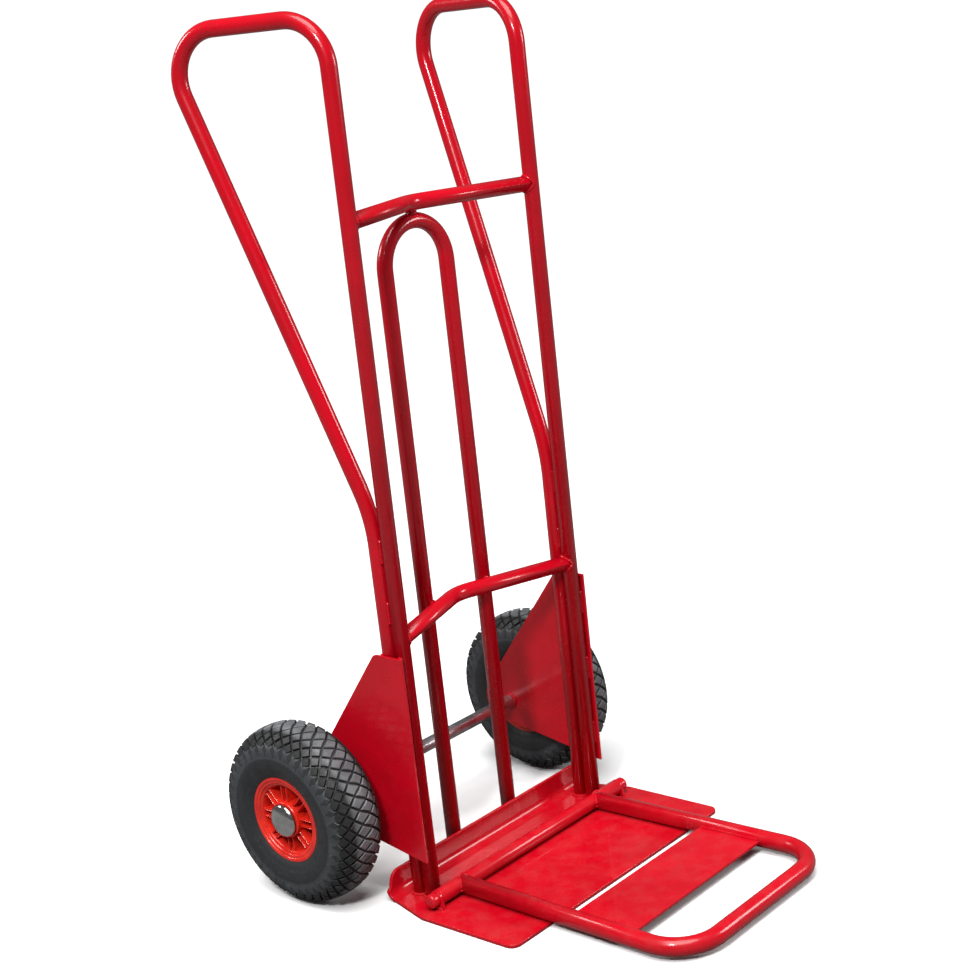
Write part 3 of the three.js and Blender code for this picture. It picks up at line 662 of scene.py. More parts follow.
def turned(profile: Sequence[tuple[float, float]], centre: Vector, sign: float, steps: int,
           rounding: float, closed: bool = True) -> bmesh.types.BMesh:
    """A piece turned about a line along X, with its edges rounded.

    Args:
        profile: places along X and radii.
        centre: where the profile's places start.
        sign: the direction of the profile along X.
        steps: faces round the full turn.
        rounding: width of the edge rounding.
        closed: whether the profile's last point joins its first.

    Returns:
        The piece's mesh.
    """
    bm = bmesh.new()
    turn_profile(bm, profile, centre, sign, steps, closed)
    face_out(bm)
    round_edges(bm, rounding)
    return bm


def flat_sheet(outline: Sequence[Vector], across: Vector, rounding: float) -> bmesh.types.BMesh:
    """A flat sheet cut to an outline, with rounded edges.

    Args:
        outline: the corners of the sheet's near face, in order.
        across: from the near face to the far one.
        rounding: width of the edge rounding.

    Returns:
        The sheet's mesh.
    """
    bm = bmesh.new()
    bm.faces.new([bm.verts.new(place) for place in outline])
    far = bmesh.ops.extrude_face_region(bm, geom=bm.faces[:], use_keep_orig=True)["geom"]
    bmesh.ops.translate(bm, vec=across, verts=vertices_of(far))
    face_out(bm)
    round_edges(bm, rounding, sharper_than=50.0)
    return bm


@dataclass(frozen=True)
class TubeStock:
    """Round tube as it comes from the rack."""

    outside: float
    wall: float
    facets: int = 32

    @property
    def radius(self) -> float:
        """Half of the outside diameter."""
        return self.outside / 2


@dataclass(frozen=True)
class Post:
    """A round tube that another one is cut to fit against."""

    foot: Vector
    along: Vector
    radius: float

    def reach(self, start: Vector, heading: Vector) -> tuple[float, bool]:
        """How far a line runs before it meets the post.

        Args:
            start: where the line starts.
            heading: its direction, of length one.

        Returns:
            The distance, and whether the line meets the post at all. Where it doesn't, the distance is
            to the point nearest to the post.
        """
        run = heading - heading.dot(self.along) * self.along
        gap = start - self.foot
        gap -= gap.dot(self.along) * self.along
        a, b, c = run.dot(run), 2 * gap.dot(run), gap.dot(gap) - self.radius ** 2
        room = b * b - 4 * a * c
        if room < 0:
            return -b / (2 * a), False
        return (-b - math.sqrt(room)) / (2 * a), True


class TubeBender:
    """Draws a tube along straight runs and round bends, as a tube bender feeds it."""

    flattening = 0.045

    def __init__(self, stock: TubeStock, start: Vector, towards: Vector) -> None:
        """Starts a tube with an open ring.

        Args:
            stock: the tube to draw.
            start: the middle of the first end.
            towards: a point straight ahead of it.
        """
        self.stock = stock
        self.bm = bmesh.new()
        self.place = start.copy()
        self.heading = (towards - start).normalized()
        turn = self.heading.to_track_quat("Z", "Y").to_matrix().to_4x4()
        made = bmesh.ops.create_circle(
            self.bm, cap_ends=False, radius=stock.radius, segments=stock.facets,
            matrix=Matrix.Translation(start) @ turn)
        self.first = list(made["verts"])
        self.first_heading = self.heading.copy()
        self.ring = self.first
        self.edges = list({edge for vertex in self.first for edge in vertex.link_edges})

    def run(self, length: float) -> None:
        """Feeds the tube straight ahead by a length."""
        if length < MERGE:
            return
        self.ring, self.edges = ring_of(bmesh.ops.extrude_edge_only(self.bm, edges=self.edges)["geom"])
        bmesh.ops.translate(self.bm, vec=self.heading * length, verts=self.ring)
        self.place += self.heading * length

    def bend(self, into: Vector, radius: float, angle: float, steps: int) -> None:
        """Bends the tube round, a little flattened in the middle of the bend.

        Args:
            into: the direction that the tube turns towards.
            radius: the bend's radius to the tube's middle.
            angle: how far it turns, in radians.
            steps: rings in the bend.
        """
        inwards = (into - into.dot(self.heading) * self.heading).normalized()
        axis = self.heading.cross(inwards)
        centre = self.place + inwards * radius
        rings = []
        for _ in range(steps):
            made = bmesh.ops.spin(
                self.bm, geom=self.ring + self.edges, cent=centre, axis=axis, dvec=STILL,
                angle=angle / steps, steps=1, use_merge=False, use_duplicate=False)
            self.ring, self.edges = ring_of(made["geom_last"])
            turn = Matrix.Rotation(angle / steps, 3, axis)
            self.heading = turn @ self.heading
            self.place = centre + turn @ (self.place - centre)
            rings.append((self.ring, self.place.copy(), (centre - self.place).normalized()))
        for number, (ring, middle, inner) in enumerate(rings[:-1], start=1):
            squash = 1 - self.flattening * math.sin(math.pi * number / steps)
            shape = Matrix.Translation(middle) @ Matrix.Scale(squash, 4, inner) @ Matrix.Translation(-middle)
            bmesh.ops.transform(self.bm, matrix=shape, verts=ring)

    def follow(self, corners: Sequence[Vector], bends: Sequence[tuple[float, int]]) -> None:
        """Runs through a list of corners, rounding each inner one.

        Args:
            corners: every corner of the line, its two ends included.
            bends: a radius and a number of steps for each inner corner.
        """
        for i, (radius, steps) in enumerate(bends, start=1):
            ahead = (corners[i + 1] - corners[i]).normalized()
            angle = self.heading.angle(ahead)
            start = corners[i] - self.heading * radius * math.tan(angle / 2)
            self.run((start - self.place).dot(self.heading))
            self.bend(ahead, radius, angle, steps)
        self.run((corners[-1] - self.place).dot(self.heading))

    def fit_end(self, posts: Sequence[Post], first: bool = False) -> list[Vector]:
        """Cuts an end to sit against the tubes it meets.

        Args:
            posts: the tubes that the end meets.
            first: whether it is the tube's first end.

        Returns:
            The cut's line, in order round the tube.
        """
        ring, heading = (self.first, -self.first_heading) if first else (self.ring, self.heading)
        middle = sum((v.co for v in ring), Vector()) / len(ring)
        back = 3 * self.stock.outside
        for vertex in ring:
            start = vertex.co - heading * back
            found = [post.reach(start, heading) for post in posts]
            met = [distance for distance, meets in found if meets and distance > 0]
            vertex.co = start + heading * (min(met) if met else found[0][0])
        side = heading.orthogonal().normalized()
        up = heading.cross(side)

        def bearing(vertex: bmesh.types.BMVert) -> float:
            """The vertex's direction from the tube's middle."""
            off = vertex.co - middle
            return math.atan2(off.dot(up), off.dot(side))

        return [vertex.co.copy() for vertex in sorted(ring, key=bearing)]

    def finish(self) -> bmesh.types.BMesh:
        """The tube's mesh with its faces turned outwards."""
        bmesh.ops.recalc_face_normals(self.bm, faces=self.bm.faces[:])
        self.bm.faces.ensure_lookup_table()
        face = self.bm.faces[0]
        middle = sum((v.co for v in self.first), Vector()) / len(self.first)
        out = face.calc_center_median() - middle
        out -= out.dot(self.first_heading) * self.first_heading
        if face.normal.dot(out) < 0:
            bmesh.ops.reverse_faces(self.bm, faces=self.bm.faces[:])
        return self.bm


class WeldGun:
    """Lays rippled weld beads along lines, all into one mesh."""

    facets = 8
    ripple = 0.62
    lean = 0.80
    uneven = (0.93, 1.05)
    tail_off = 0.7

    def __init__(self, seed: int) -> None:
        """Starts an empty mesh.

        Args:
            seed: for the small differences between one ripple and the next.
        """
        self.bm = bmesh.new()
        self.dice = random.Random(seed)

    @staticmethod
    def spaced(points: Sequence[Vector], pitch: float, closed: bool) -> list[Vector]:
        """Points at an even pitch along a line.

        Args:
            points: the line's own points.
            pitch: the wanted distance between points.
            closed: whether the line returns to its start.

        Returns:
            The evenly spaced points.
        """
        line = list(points) + ([points[0]] if closed else [])
        lengths = [(b - a).length for a, b in zip(line, line[1:])]
        count = max(4, round(sum(lengths) / pitch))
        count += count % 2
        wanted = [sum(lengths) * i / count for i in range(count if closed else count + 1)]
        placed, walked, i = [], 0.0, 0
        for distance in wanted:
            while i < len(lengths) - 1 and walked + lengths[i] < distance:
                walked += lengths[i]
                i += 1
            share = (distance - walked) / lengths[i] if lengths[i] else 0.0
            placed.append(line[i].lerp(line[i + 1], share))
        return placed

    def lay(self, points: Sequence[Vector], size: float, closed: bool = False) -> None:
        """Lays one bead.

        Args:
            points: the line to weld along.
            size: half of the bead's width.
            closed: whether the bead runs all the way round.
        """
        line = self.spaced(points, size * self.ripple, closed)
        count = len(line)
        ahead = [line[(i + 1) % count] - line[i - 1] if closed or 0 < i < count - 1
                 else (line[1] - line[0] if i == 0 else line[-1] - line[-2]) for i in range(count)]
        turn = ahead[0].to_track_quat("Z", "Y")
        shape = Matrix.Translation(line[0]) @ turn.to_matrix().to_4x4()
        made = bmesh.ops.create_circle(self.bm, cap_ends=False, radius=size, segments=self.facets,
                                       matrix=shape)
        first = list({edge for vertex in made["verts"] for edge in vertex.link_edges})
        edges = first
        if not closed:
            bmesh.ops.contextual_create(self.bm, geom=edges)
        for i in range(1, count):
            ring, edges = ring_of(bmesh.ops.extrude_edge_only(self.bm, edges=edges)["geom"])
            turn = ahead[i - 1].rotation_difference(ahead[i]) @ turn
            crest = 1.0 if i % 2 else self.lean
            crest *= self.dice.uniform(*self.uneven)
            if not closed and i == count - 1:
                crest *= self.tail_off
            fresh_shape = Matrix.Translation(line[i]) @ turn.to_matrix().to_4x4() @ Matrix.Scale(crest, 4)
            bmesh.ops.transform(self.bm, matrix=fresh_shape @ shape.inverted(), verts=ring)
            shape = fresh_shape
        if closed:
            bmesh.ops.bridge_loops(self.bm, edges=first + edges)
        else:
            bmesh.ops.contextual_create(self.bm, geom=edges)

    def ring(self, centre: Vector, first: Vector, second: Vector, size: float, steps: int = 28,
             arc: tuple[float, float] = (0.0, 360.0)) -> None:
        """Lays a bead round a circle or an oval.

        Args:
            centre: the circle's middle.
            first: from the middle to the circle's first point.
            second: from the middle to the point a quarter turn on.
            size: half of the bead's width.
            steps: points round the full circle.
            arc: where the bead starts and stops, in degrees.
        """
        start, stop = (math.radians(angle) for angle in arc)
        closed = arc[1] - arc[0] >= 360.0
        count = steps if closed else steps + 1
        angles = [start + (stop - start) * i / steps for i in range(count)]
        points = [centre + first * math.cos(angle) + second * math.sin(angle) for angle in angles]
        self.lay(points, size, closed)

    def finish(self) -> bmesh.types.BMesh:
        """The beads' mesh with its faces turned outwards."""
        bmesh.ops.recalc_face_normals(self.bm, faces=self.bm.faces[:])
        return self.bm


class Bench:
    """Puts finished meshes into the scene as pieces of the truck."""

    def __init__(self) -> None:
        """Starts with nothing placed."""
        self.placed: list[str] = []

    def place(self, name: str, bm: bmesh.types.BMesh, finish: Finish, body: Body, *stands_for: str,
              wall: float = 0.0, sharp: float = 38.0, even: bool = False) -> bpy.types.Object:
        """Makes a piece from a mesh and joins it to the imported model.

        Args:
            name: the piece's name.
            bm: its mesh, which is used up.
            finish: its finish.
            body: the body that it rides on.
            *stands_for: the CAD nodes that it stands for.
            wall: wall thickness given inwards, or 0 for a mesh that is already closed.
            sharp: angle from which an edge stays crisp, in degrees.
            even: whether flat faces keep a flat shade up to their rounded edges.

        Returns:
            The new object.
        """
        mesh = bpy.data.meshes.new(name)
        bm.to_mesh(mesh)
        bm.free()
        mesh.shade_smooth()
        mesh.set_sharp_from_angle(angle=math.radians(sharp))
        mesh.materials.append(finish.material())
        piece = in_scene(name, mesh)
        if wall:
            shell = piece.modifiers.new("wall", "SOLIDIFY")
            shell.thickness = wall
            shell.offset = -1.0
        if even:
            piece.modifiers.new("even_shade", "WEIGHTED_NORMAL").keep_sharp = True
        if stands_for:
            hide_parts(*stands_for)
        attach(piece, body.value)
        self.placed.append(name)
        log.info("%s rides on %s", name, body.value)
        return piece

    def dress_node(self, datums: Datums, node: str, finish: Finish) -> None:
        """Gives a CAD node that stays in view a finish."""
        mesh = datums.nodes[node].data
        mesh.materials.clear()
        mesh.materials.append(finish.material())
        self.placed.append(node)
        log.info("%s keeps its CAD shape", node)


# ---------------------------------------------------------------------------------- the frame

FRAME_TUBE = TubeStock(outside=mm(22.5), wall=mm(2.0))
TOE_TUBE = TubeStock(outside=mm(25.0), wall=mm(2.0))
UPRIGHT = mm(182.1)
BEND_RADIUS = mm(62)


@dataclass
class SideLoop:
    """An upright that bends over into a handle and comes back down as a tail behind itself."""

    side: Side
    upright: float = UPRIGHT
    foot: float = mm(5.3)
    top: float = mm(1197.6)
    reach: float = mm(250.5)
    spread: float = mm(240.4)
    tail_bend_height: float = mm(551)
    tail_spread: float = mm(184)
    tail_bend_radius: float = mm(250)
    bend_radius: float = BEND_RADIUS
    foot_bead: float = mm(2.4)
    crease_bead: float = mm(3.0)
    crease_off: float = mm(4.2)
    crease_runs: tuple[tuple[float, float], ...] = ((mm(490), mm(522)), (mm(405), mm(435)))

    @property
    def tail_behind(self) -> float:
        """How far the tail stands behind the upright."""
        return FRAME_TUBE.outside + GAP

    def tail_at(self, height: float) -> float:
        """The tail's distance from the middle at a height."""
        share = (height - self.foot) / (self.tail_bend_height - self.foot)
        return self.upright + (self.tail_spread - self.upright) * share

    def at(self, x: float, y: float, z: float) -> Vector:
        """A point on this side of the truck."""
        return Vector((self.side.value * x, y, z))

    def tube(self) -> bmesh.types.BMesh:
        """The tube itself, from the upright's foot round to the tail's."""
        corners = [
            self.at(self.upright, 0.0, self.foot),
            self.at(self.upright, 0.0, self.top),
            self.at(self.spread, self.reach, self.top),
            self.at(self.tail_spread, self.tail_behind, self.tail_bend_height),
            self.at(self.upright, self.tail_behind, self.foot),
        ]
        bender = TubeBender(FRAME_TUBE, corners[0], corners[1])
        bender.follow(corners, [(self.bend_radius, 14), (self.bend_radius, 16), (self.tail_bend_radius, 8)])
        return bender.finish()

    def welds(self, gun: WeldGun) -> None:
        """Beads round both feet and down the crease between the upright and the tail."""
        circle = FRAME_TUBE.radius + mm(0.6)
        for y in (0.0, self.tail_behind):
            middle = self.at(self.upright, y, self.foot + mm(1.0))
            gun.ring(middle, X_AXIS * circle, Y_AXIS * circle, self.foot_bead, 40)
        for run in self.crease_runs:
            for off in (-self.crease_off, self.crease_off):
                gun.lay([self.at(self.tail_at(z) + off, self.tail_behind / 2, z) for z in run],
                        self.crease_bead)

    def build(self, bench: Bench, coat: Finish) -> None:
        """Builds and places the tube."""
        name = f"{self.side.word}_side_tube"
        bench.place(name + "_bent", self.tube(), coat, Body.FRAME, name, wall=FRAME_TUBE.wall)


@dataclass
class Crossbar:
    """A bar between the uprights that bows to the rear in the middle."""

    name: str
    height: float
    depth: float
    upright: float = UPRIGHT
    bend_radius: float = BEND_RADIUS
    neighbours: tuple[tuple[float, float], ...] = ()

    def build(self, bench: Bench, coat: Finish, gun: WeldGun) -> None:
        """Builds the bar with both ends cut to the uprights, and welds them."""
        corners = [Vector((-self.upright, 0.0, self.height)), Vector((0.0, self.depth, self.height)),
                   Vector((self.upright, 0.0, self.height))]
        bender = TubeBender(FRAME_TUBE, corners[0], corners[1])
        bender.follow(corners, [(self.bend_radius, 10)])
        for first, sign in ((True, -1.0), (False, 1.0)):
            posts = [Post(Vector((sign * x, y, 0.0)), Z_AXIS, FRAME_TUBE.radius + GAP)
                     for x, y in self.neighbours]
            gun.lay(bender.fit_end(posts, first), mm(2.3), closed=True)
        bench.place(self.name + "_bent", bender.finish(), coat, Body.FRAME, self.name,
                    wall=FRAME_TUBE.wall)


@dataclass
class CentreLoop:
    """The upright hoop between the two side loops."""

    half_width: float = mm(61.7)
    depth: float = mm(66)
    foot: float = mm(9)
    below_bar: float = mm(24.5)

    def build(self, bench: Bench, coat: Finish, bar_height: float) -> None:
        """Builds the hoop.

        Args:
            bench: where pieces are placed.
            coat: the hoop's finish.
            bar_height: height of the crossbar that it hangs from.
        """
        top = bar_height - self.below_bar
        corners = [Vector((sign * self.half_width, self.depth, z))
                   for sign, z in ((-1, self.foot), (-1, top), (1, top), (1, self.foot))]
        bender = TubeBender(FRAME_TUBE, corners[0], corners[1])
        bender.follow(corners, [(self.half_width, 14), (self.half_width, 14)])
        bench.place("centre_loop_bent", bender.finish(), coat, Body.FRAME, "centre_loop",
                    wall=FRAME_TUBE.wall)


@dataclass
class ToePlate:
    """The fixed plate on the floor, its rear edge bent up into a lip."""

    datums: Datums
    thickness: float = mm(5)
    bend_inside: float = mm(12)
    corner: float = mm(15)
    taper_start: float = mm(-28)
    rear_half_width: float = mm(214)
    lip_top_half_width: float = mm(207)
    lip_corner: float = mm(12)

    def build(self, bench: Bench, coat: Finish) -> None:
        """Builds the plate from its lower skin: floor, bend and lip, then thickness and rounding."""
        low, high = self.datums.low("toe_plate"), self.datums.high("toe_plate")
        outer_bend = self.bend_inside + self.thickness
        floor_end = high.y - outer_bend
        rear = self.half_width_at(floor_end, high.x, high.y)
        outline = [Vector((-high.x, low.y, 0.0)), Vector((high.x, low.y, 0.0)),
                   Vector((high.x, self.taper_start, 0.0)), Vector((rear, floor_end, 0.0)),
                   Vector((-rear, floor_end, 0.0)), Vector((-high.x, self.taper_start, 0.0))]
        bm = bmesh.new()
        points = [bm.verts.new(place) for place in outline]
        bm.faces.new(points)
        for corner in points[:2]:
            round_corner(bm, [corner], self.corner, 8)
        last = [edge for edge in bm.edges if all(v.co.y > floor_end - MERGE for v in edge.verts)]
        made = bmesh.ops.spin(
            bm, geom=last + list(last[0].verts), cent=Vector((0.0, floor_end, outer_bend)), axis=X_AXIS,
            dvec=STILL, angle=math.pi / 2, steps=8, use_merge=False, use_duplicate=False)["geom_last"]
        narrow = self.rear_half_width / rear
        bmesh.ops.scale(bm, vec=Vector((narrow, 1.0, 1.0)), verts=vertices_of(made))
        made = bmesh.ops.extrude_edge_only(bm, edges=edges_of(made))["geom"]
        top = vertices_of(made)
        bmesh.ops.translate(bm, vec=Z_AXIS * (high.z - outer_bend), verts=top)
        narrow = self.lip_top_half_width / self.rear_half_width
        bmesh.ops.scale(bm, vec=Vector((narrow, 1.0, 1.0)), verts=top)
        round_corner(bm, top, self.lip_corner, 6)
        bmesh.ops.recalc_face_normals(bm, faces=bm.faces[:])
        lowest = min(bm.faces, key=lambda face: face.calc_center_median().z)
        if lowest.normal.z > 0:
            bmesh.ops.reverse_faces(bm, faces=bm.faces[:])
        piece = bench.place("toe_plate_bent", bm, coat, Body.FRAME, "toe_plate",
                            wall=self.thickness, sharp=60)
        edge = piece.modifiers.new("edge", "BEVEL")
        edge.width, edge.segments = mm(0.9), 2
        edge.limit_method, edge.angle_limit = "ANGLE", math.radians(50)
        piece.modifiers.new("even_shade", "WEIGHTED_NORMAL").keep_sharp = False

    def half_width_at(self, y: float, widest: float, lip_rear: float) -> float:
        """Half of the plate's width at a distance along the truck."""
        taper_end = lip_rear + mm(2)
        share = (y - self.taper_start) / (taper_end - self.taper_start)
        return widest + (self.rear_half_width - widest) * share


@dataclass
class AxleBracket:
    """A steel cheek that carries the axle behind the uprights."""

    side: Side
    datums: Datums
    top_reach: float = mm(41.5)
    front_foot: float = mm(62.5)
    axle_round: float = mm(36)
    corner: float = mm(10)
    bead_lift: float = mm(0.8)

    @staticmethod
    def arc(start: Vector, centre: Vector, sweep: float, steps: int) -> list[Vector]:
        """Points round an arc in the YZ plane, its start included."""
        spoke = start - centre
        return [start] + [centre + Matrix.Rotation(sweep * i / steps, 3, X_AXIS) @ spoke
                          for i in range(1, steps + 1)]

    @staticmethod
    def meeting(first: Vector, first_way: Vector, second: Vector, second_way: Vector) -> Vector:
        """Where two lines in the YZ plane cross."""
        gap = second - first
        area = first_way.y * second_way.z - first_way.z * second_way.y
        return first + first_way * ((gap.y * second_way.z - gap.z * second_way.y) / area)

    def tangent(self, start: Vector, axle: Vector, turn: float) -> Vector:
        """The direction from a point to where it just touches the round end at the axle."""
        gap = axle - start
        lean = math.asin(self.axle_round / gap.length)
        return Matrix.Rotation(turn * lean, 3, X_AXIS) @ gap.normalized()

    def build(self, bench: Bench, coat: Finish, gun: WeldGun) -> None:
        """Builds the cheek from its outline and welds the axle to it."""
        node = f"{self.side.word}_axle_bracket"
        low, high = self.datums.low(node), self.datums.high(node)
        axle = self.datums.pivot(f"{self.side.word}_wheel_spin")
        axle.x = low.x
        top_front, foot = Vector((low.x, low.y, high.z)), Vector((low.x, low.y, self.front_foot))
        top_rear = Vector((low.x, self.top_reach, high.z))
        lower = self.tangent(foot, axle, -1.0)
        upper = self.tangent(top_rear, axle, 1.0)
        nose = self.meeting(foot, lower, top_rear, upper)
        nose_sweep = math.pi - lower.angle(-upper)
        nose_start = nose - lower * (self.axle_round * math.tan(nose_sweep / 2))
        crown_sweep = math.pi - Y_AXIS.angle(-upper)
        crown_start = top_rear + upper * (self.corner * math.tan(crown_sweep / 2))
        crown_centre = crown_start + (Matrix.Rotation(math.pi / 2, 3, X_AXIS) @ -upper) * self.corner
        outline = [top_front, foot, *self.arc(nose_start, axle, nose_sweep, 20),
                   *self.arc(crown_start, crown_centre, crown_sweep, 6)]
        bm = flat_sheet(outline, X_AXIS * (high.x - low.x), mm(0.7))
        bench.place(node + "_cut", bm, coat, Body.FRAME, node, even=True)
        inner = high.x if self.side is Side.LEFT else low.x
        circle = self.datums.high("axle").z - axle.z + self.bead_lift
        centre = Vector((inner - self.side.value * self.bead_lift, axle.y, axle.z))
        gun.ring(centre, Y_AXIS * circle, Z_AXIS * circle, mm(2.4), 40)


@dataclass
class HingeLug:
    """A tab on the plate that holds one end of the folding toe's hinge rod."""

    side: Side
    datums: Datums
    rounding: float = mm(11)
    foot_half_length: float = mm(14)
    bead_lift: float = mm(0.8)

    def build(self, bench: Bench, coat: Finish, gun: WeldGun) -> None:
        """Builds the tab and lays a bead along its outer foot."""
        node = f"{self.side.word}_hinge_lug"
        low, high = self.datums.low(node), self.datums.high(node)
        hinge = self.datums.pivot("toe_fold")
        outline = [Vector((low.x, hinge.y - self.foot_half_length, low.z)),
                   Vector((low.x, hinge.y + self.foot_half_length, low.z))]
        steps = 16
        for angle in (math.pi * i / steps for i in range(steps + 1)):
            outline.append(Vector((low.x, hinge.y + self.rounding * math.cos(angle),
                                   hinge.z + self.rounding * math.sin(angle))))
        bm = flat_sheet(outline, X_AXIS * (high.x - low.x), mm(0.6))
        bench.place(node + "_cut", bm, coat, Body.FRAME, node, even=True)
        outer = high.x if self.side is Side.RIGHT else low.x
        x, z = outer + self.side.value * self.bead_lift, low.z + self.bead_lift
        span = self.foot_half_length - mm(1.5)
        gun.lay([Vector((x, hinge.y - span, z)), Vector((x, hinge.y + span, z))], mm(2.2))


@dataclass
class AxleSet:
    """The axle bar and what sits on it outside the wheels' own bodies."""

    datums: Datums
    steps: int = 64
    relief: float = mm(0.6)
    cap_wall: float = mm(1.2)
    cap_roundness: float = 2.3
    nut_dome: float = mm(4.0)
    nut_dome_share: float = 0.55

    def build(self, bench: Bench, zinc: Finish, chrome: dict[Side, Finish], coat: Finish) -> None:
        """Builds the axle, spacers, washers, domed caps, and the hinge rod and its caps."""
        low, high = self.datums.low("axle"), self.datums.high("axle")
        centre = Vector((0.0, (low.y + high.y) / 2, (low.z + high.z) / 2))
        radius = (high.z - low.z) / 2
        axle = turned([(low.x, 0.0), (low.x, radius), (high.x, radius), (high.x, 0.0)], centre, 1.0,
                      self.steps, mm(1.0), closed=False)
        bench.place("axle_turned", axle, zinc, Body.FRAME, "axle")
        for side in Side:
            self.spacer(bench, zinc, side, centre, radius)
            self.washer(bench, zinc, side, centre, radius)
            self.cap(bench, chrome[side], side, centre)
        self.hinge_rod(bench, coat)

    def span(self, node: str, side: Side) -> tuple[float, float, float]:
        """A turned node's near end, far end and radius, counted outwards along X."""
        low, high = self.datums.low(node), self.datums.high(node)
        near, far = (low.x, high.x) if side is Side.RIGHT else (-high.x, -low.x)
        return near, far, (high.z - low.z) / 2

    def spacer(self, bench: Bench, zinc: Finish, side: Side, centre: Vector, bore: float) -> None:
        """A turned sleeve between the bracket and the hub."""
        node = f"{side.word}_axle_spacer"
        near, far, radius = self.span(node, side)
        inner, waist = bore + GAP, radius - self.relief
        collar, slope = mm(2.5), mm(3.0)
        profile = [(near, inner), (near, radius), (near + collar, radius), (near + slope, waist),
                   (far - slope, waist), (far - collar, radius), (far, radius), (far, inner)]
        bench.place(node + "_turned", turned(profile, centre, side.value, self.steps, mm(0.4)), zinc,
                    Body.FRAME, node)

    def washer(self, bench: Bench, zinc: Finish, side: Side, centre: Vector, bore: float) -> None:
        """A flat washer against the hub."""
        node = f"{side.word}_hub_washer"
        near, far, radius = self.span(node, side)
        profile = [(near, bore + GAP), (near, radius), (far, radius), (far, bore + GAP)]
        bench.place(node + "_turned", turned(profile, centre, side.value, self.steps, mm(0.3)), zinc,
                    Body.FRAME, node)

    def cap(self, bench: Bench, chrome: Finish, side: Side, centre: Vector) -> None:
        """A pressed cap: a short rim, a shallow step and a dome."""
        node = f"{side.word}_hub_cap"
        near, far, radius = self.span(node, side)
        shares = [1.0, 0.985, 0.95, 0.90, 0.82, 0.72, 0.60, 0.45, 0.30, 0.15, 0.0]

        def skin(sink: float) -> list[tuple[float, float]]:
            """The dome's curve from rim to middle, at a depth under the surface."""
            return [(near + (far - near - sink) * math.sqrt(1 - share ** self.cap_roundness),
                     (radius - sink) * share) for share in shares]

        profile = skin(0.0) + skin(self.cap_wall)[::-1]
        bench.place(node + "_pressed", turned(profile, centre, side.value, self.steps, mm(0.25)), chrome,
                    Body.FRAME, node)

    def hinge_rod(self, bench: Bench, coat: Finish) -> None:
        """The rod through the folding toe's hinge, with a domed nut on each end."""
        low, high = self.datums.low("hinge_rod"), self.datums.high("hinge_rod")
        hinge = self.datums.pivot("toe_fold")
        centre = Vector((0.0, hinge.y, hinge.z))
        radius = (high.z - low.z) / 2
        bm = turned([(low.x, 0.0), (low.x, radius), (high.x, radius), (high.x, 0.0)], centre, 1.0, 32,
                    mm(0.6), closed=False)
        bench.place("hinge_rod_turned", bm, coat, Body.FRAME, "hinge_rod")
        for side in Side:
            node = f"{side.word}_hinge_cap"
            near, far, across = self.span(node, side)
            shoulder = far - self.nut_dome
            bore, floor = radius + GAP, shoulder + GAP
            drop = across * self.nut_dome_share
            dome = [(shoulder + self.nut_dome * math.sin(a), across - drop * (1 - math.cos(a)))
                    for a in (math.radians(step * 15) for step in range(7))]
            profile = [(floor, 0.0), (floor, bore), (near, bore), (near, across)] + dome + [(far, 0.0)]
            bench.place(node + "_turned", turned(profile, centre, side.value, 40, mm(0.3), closed=False),
                        coat, Body.FRAME, node)


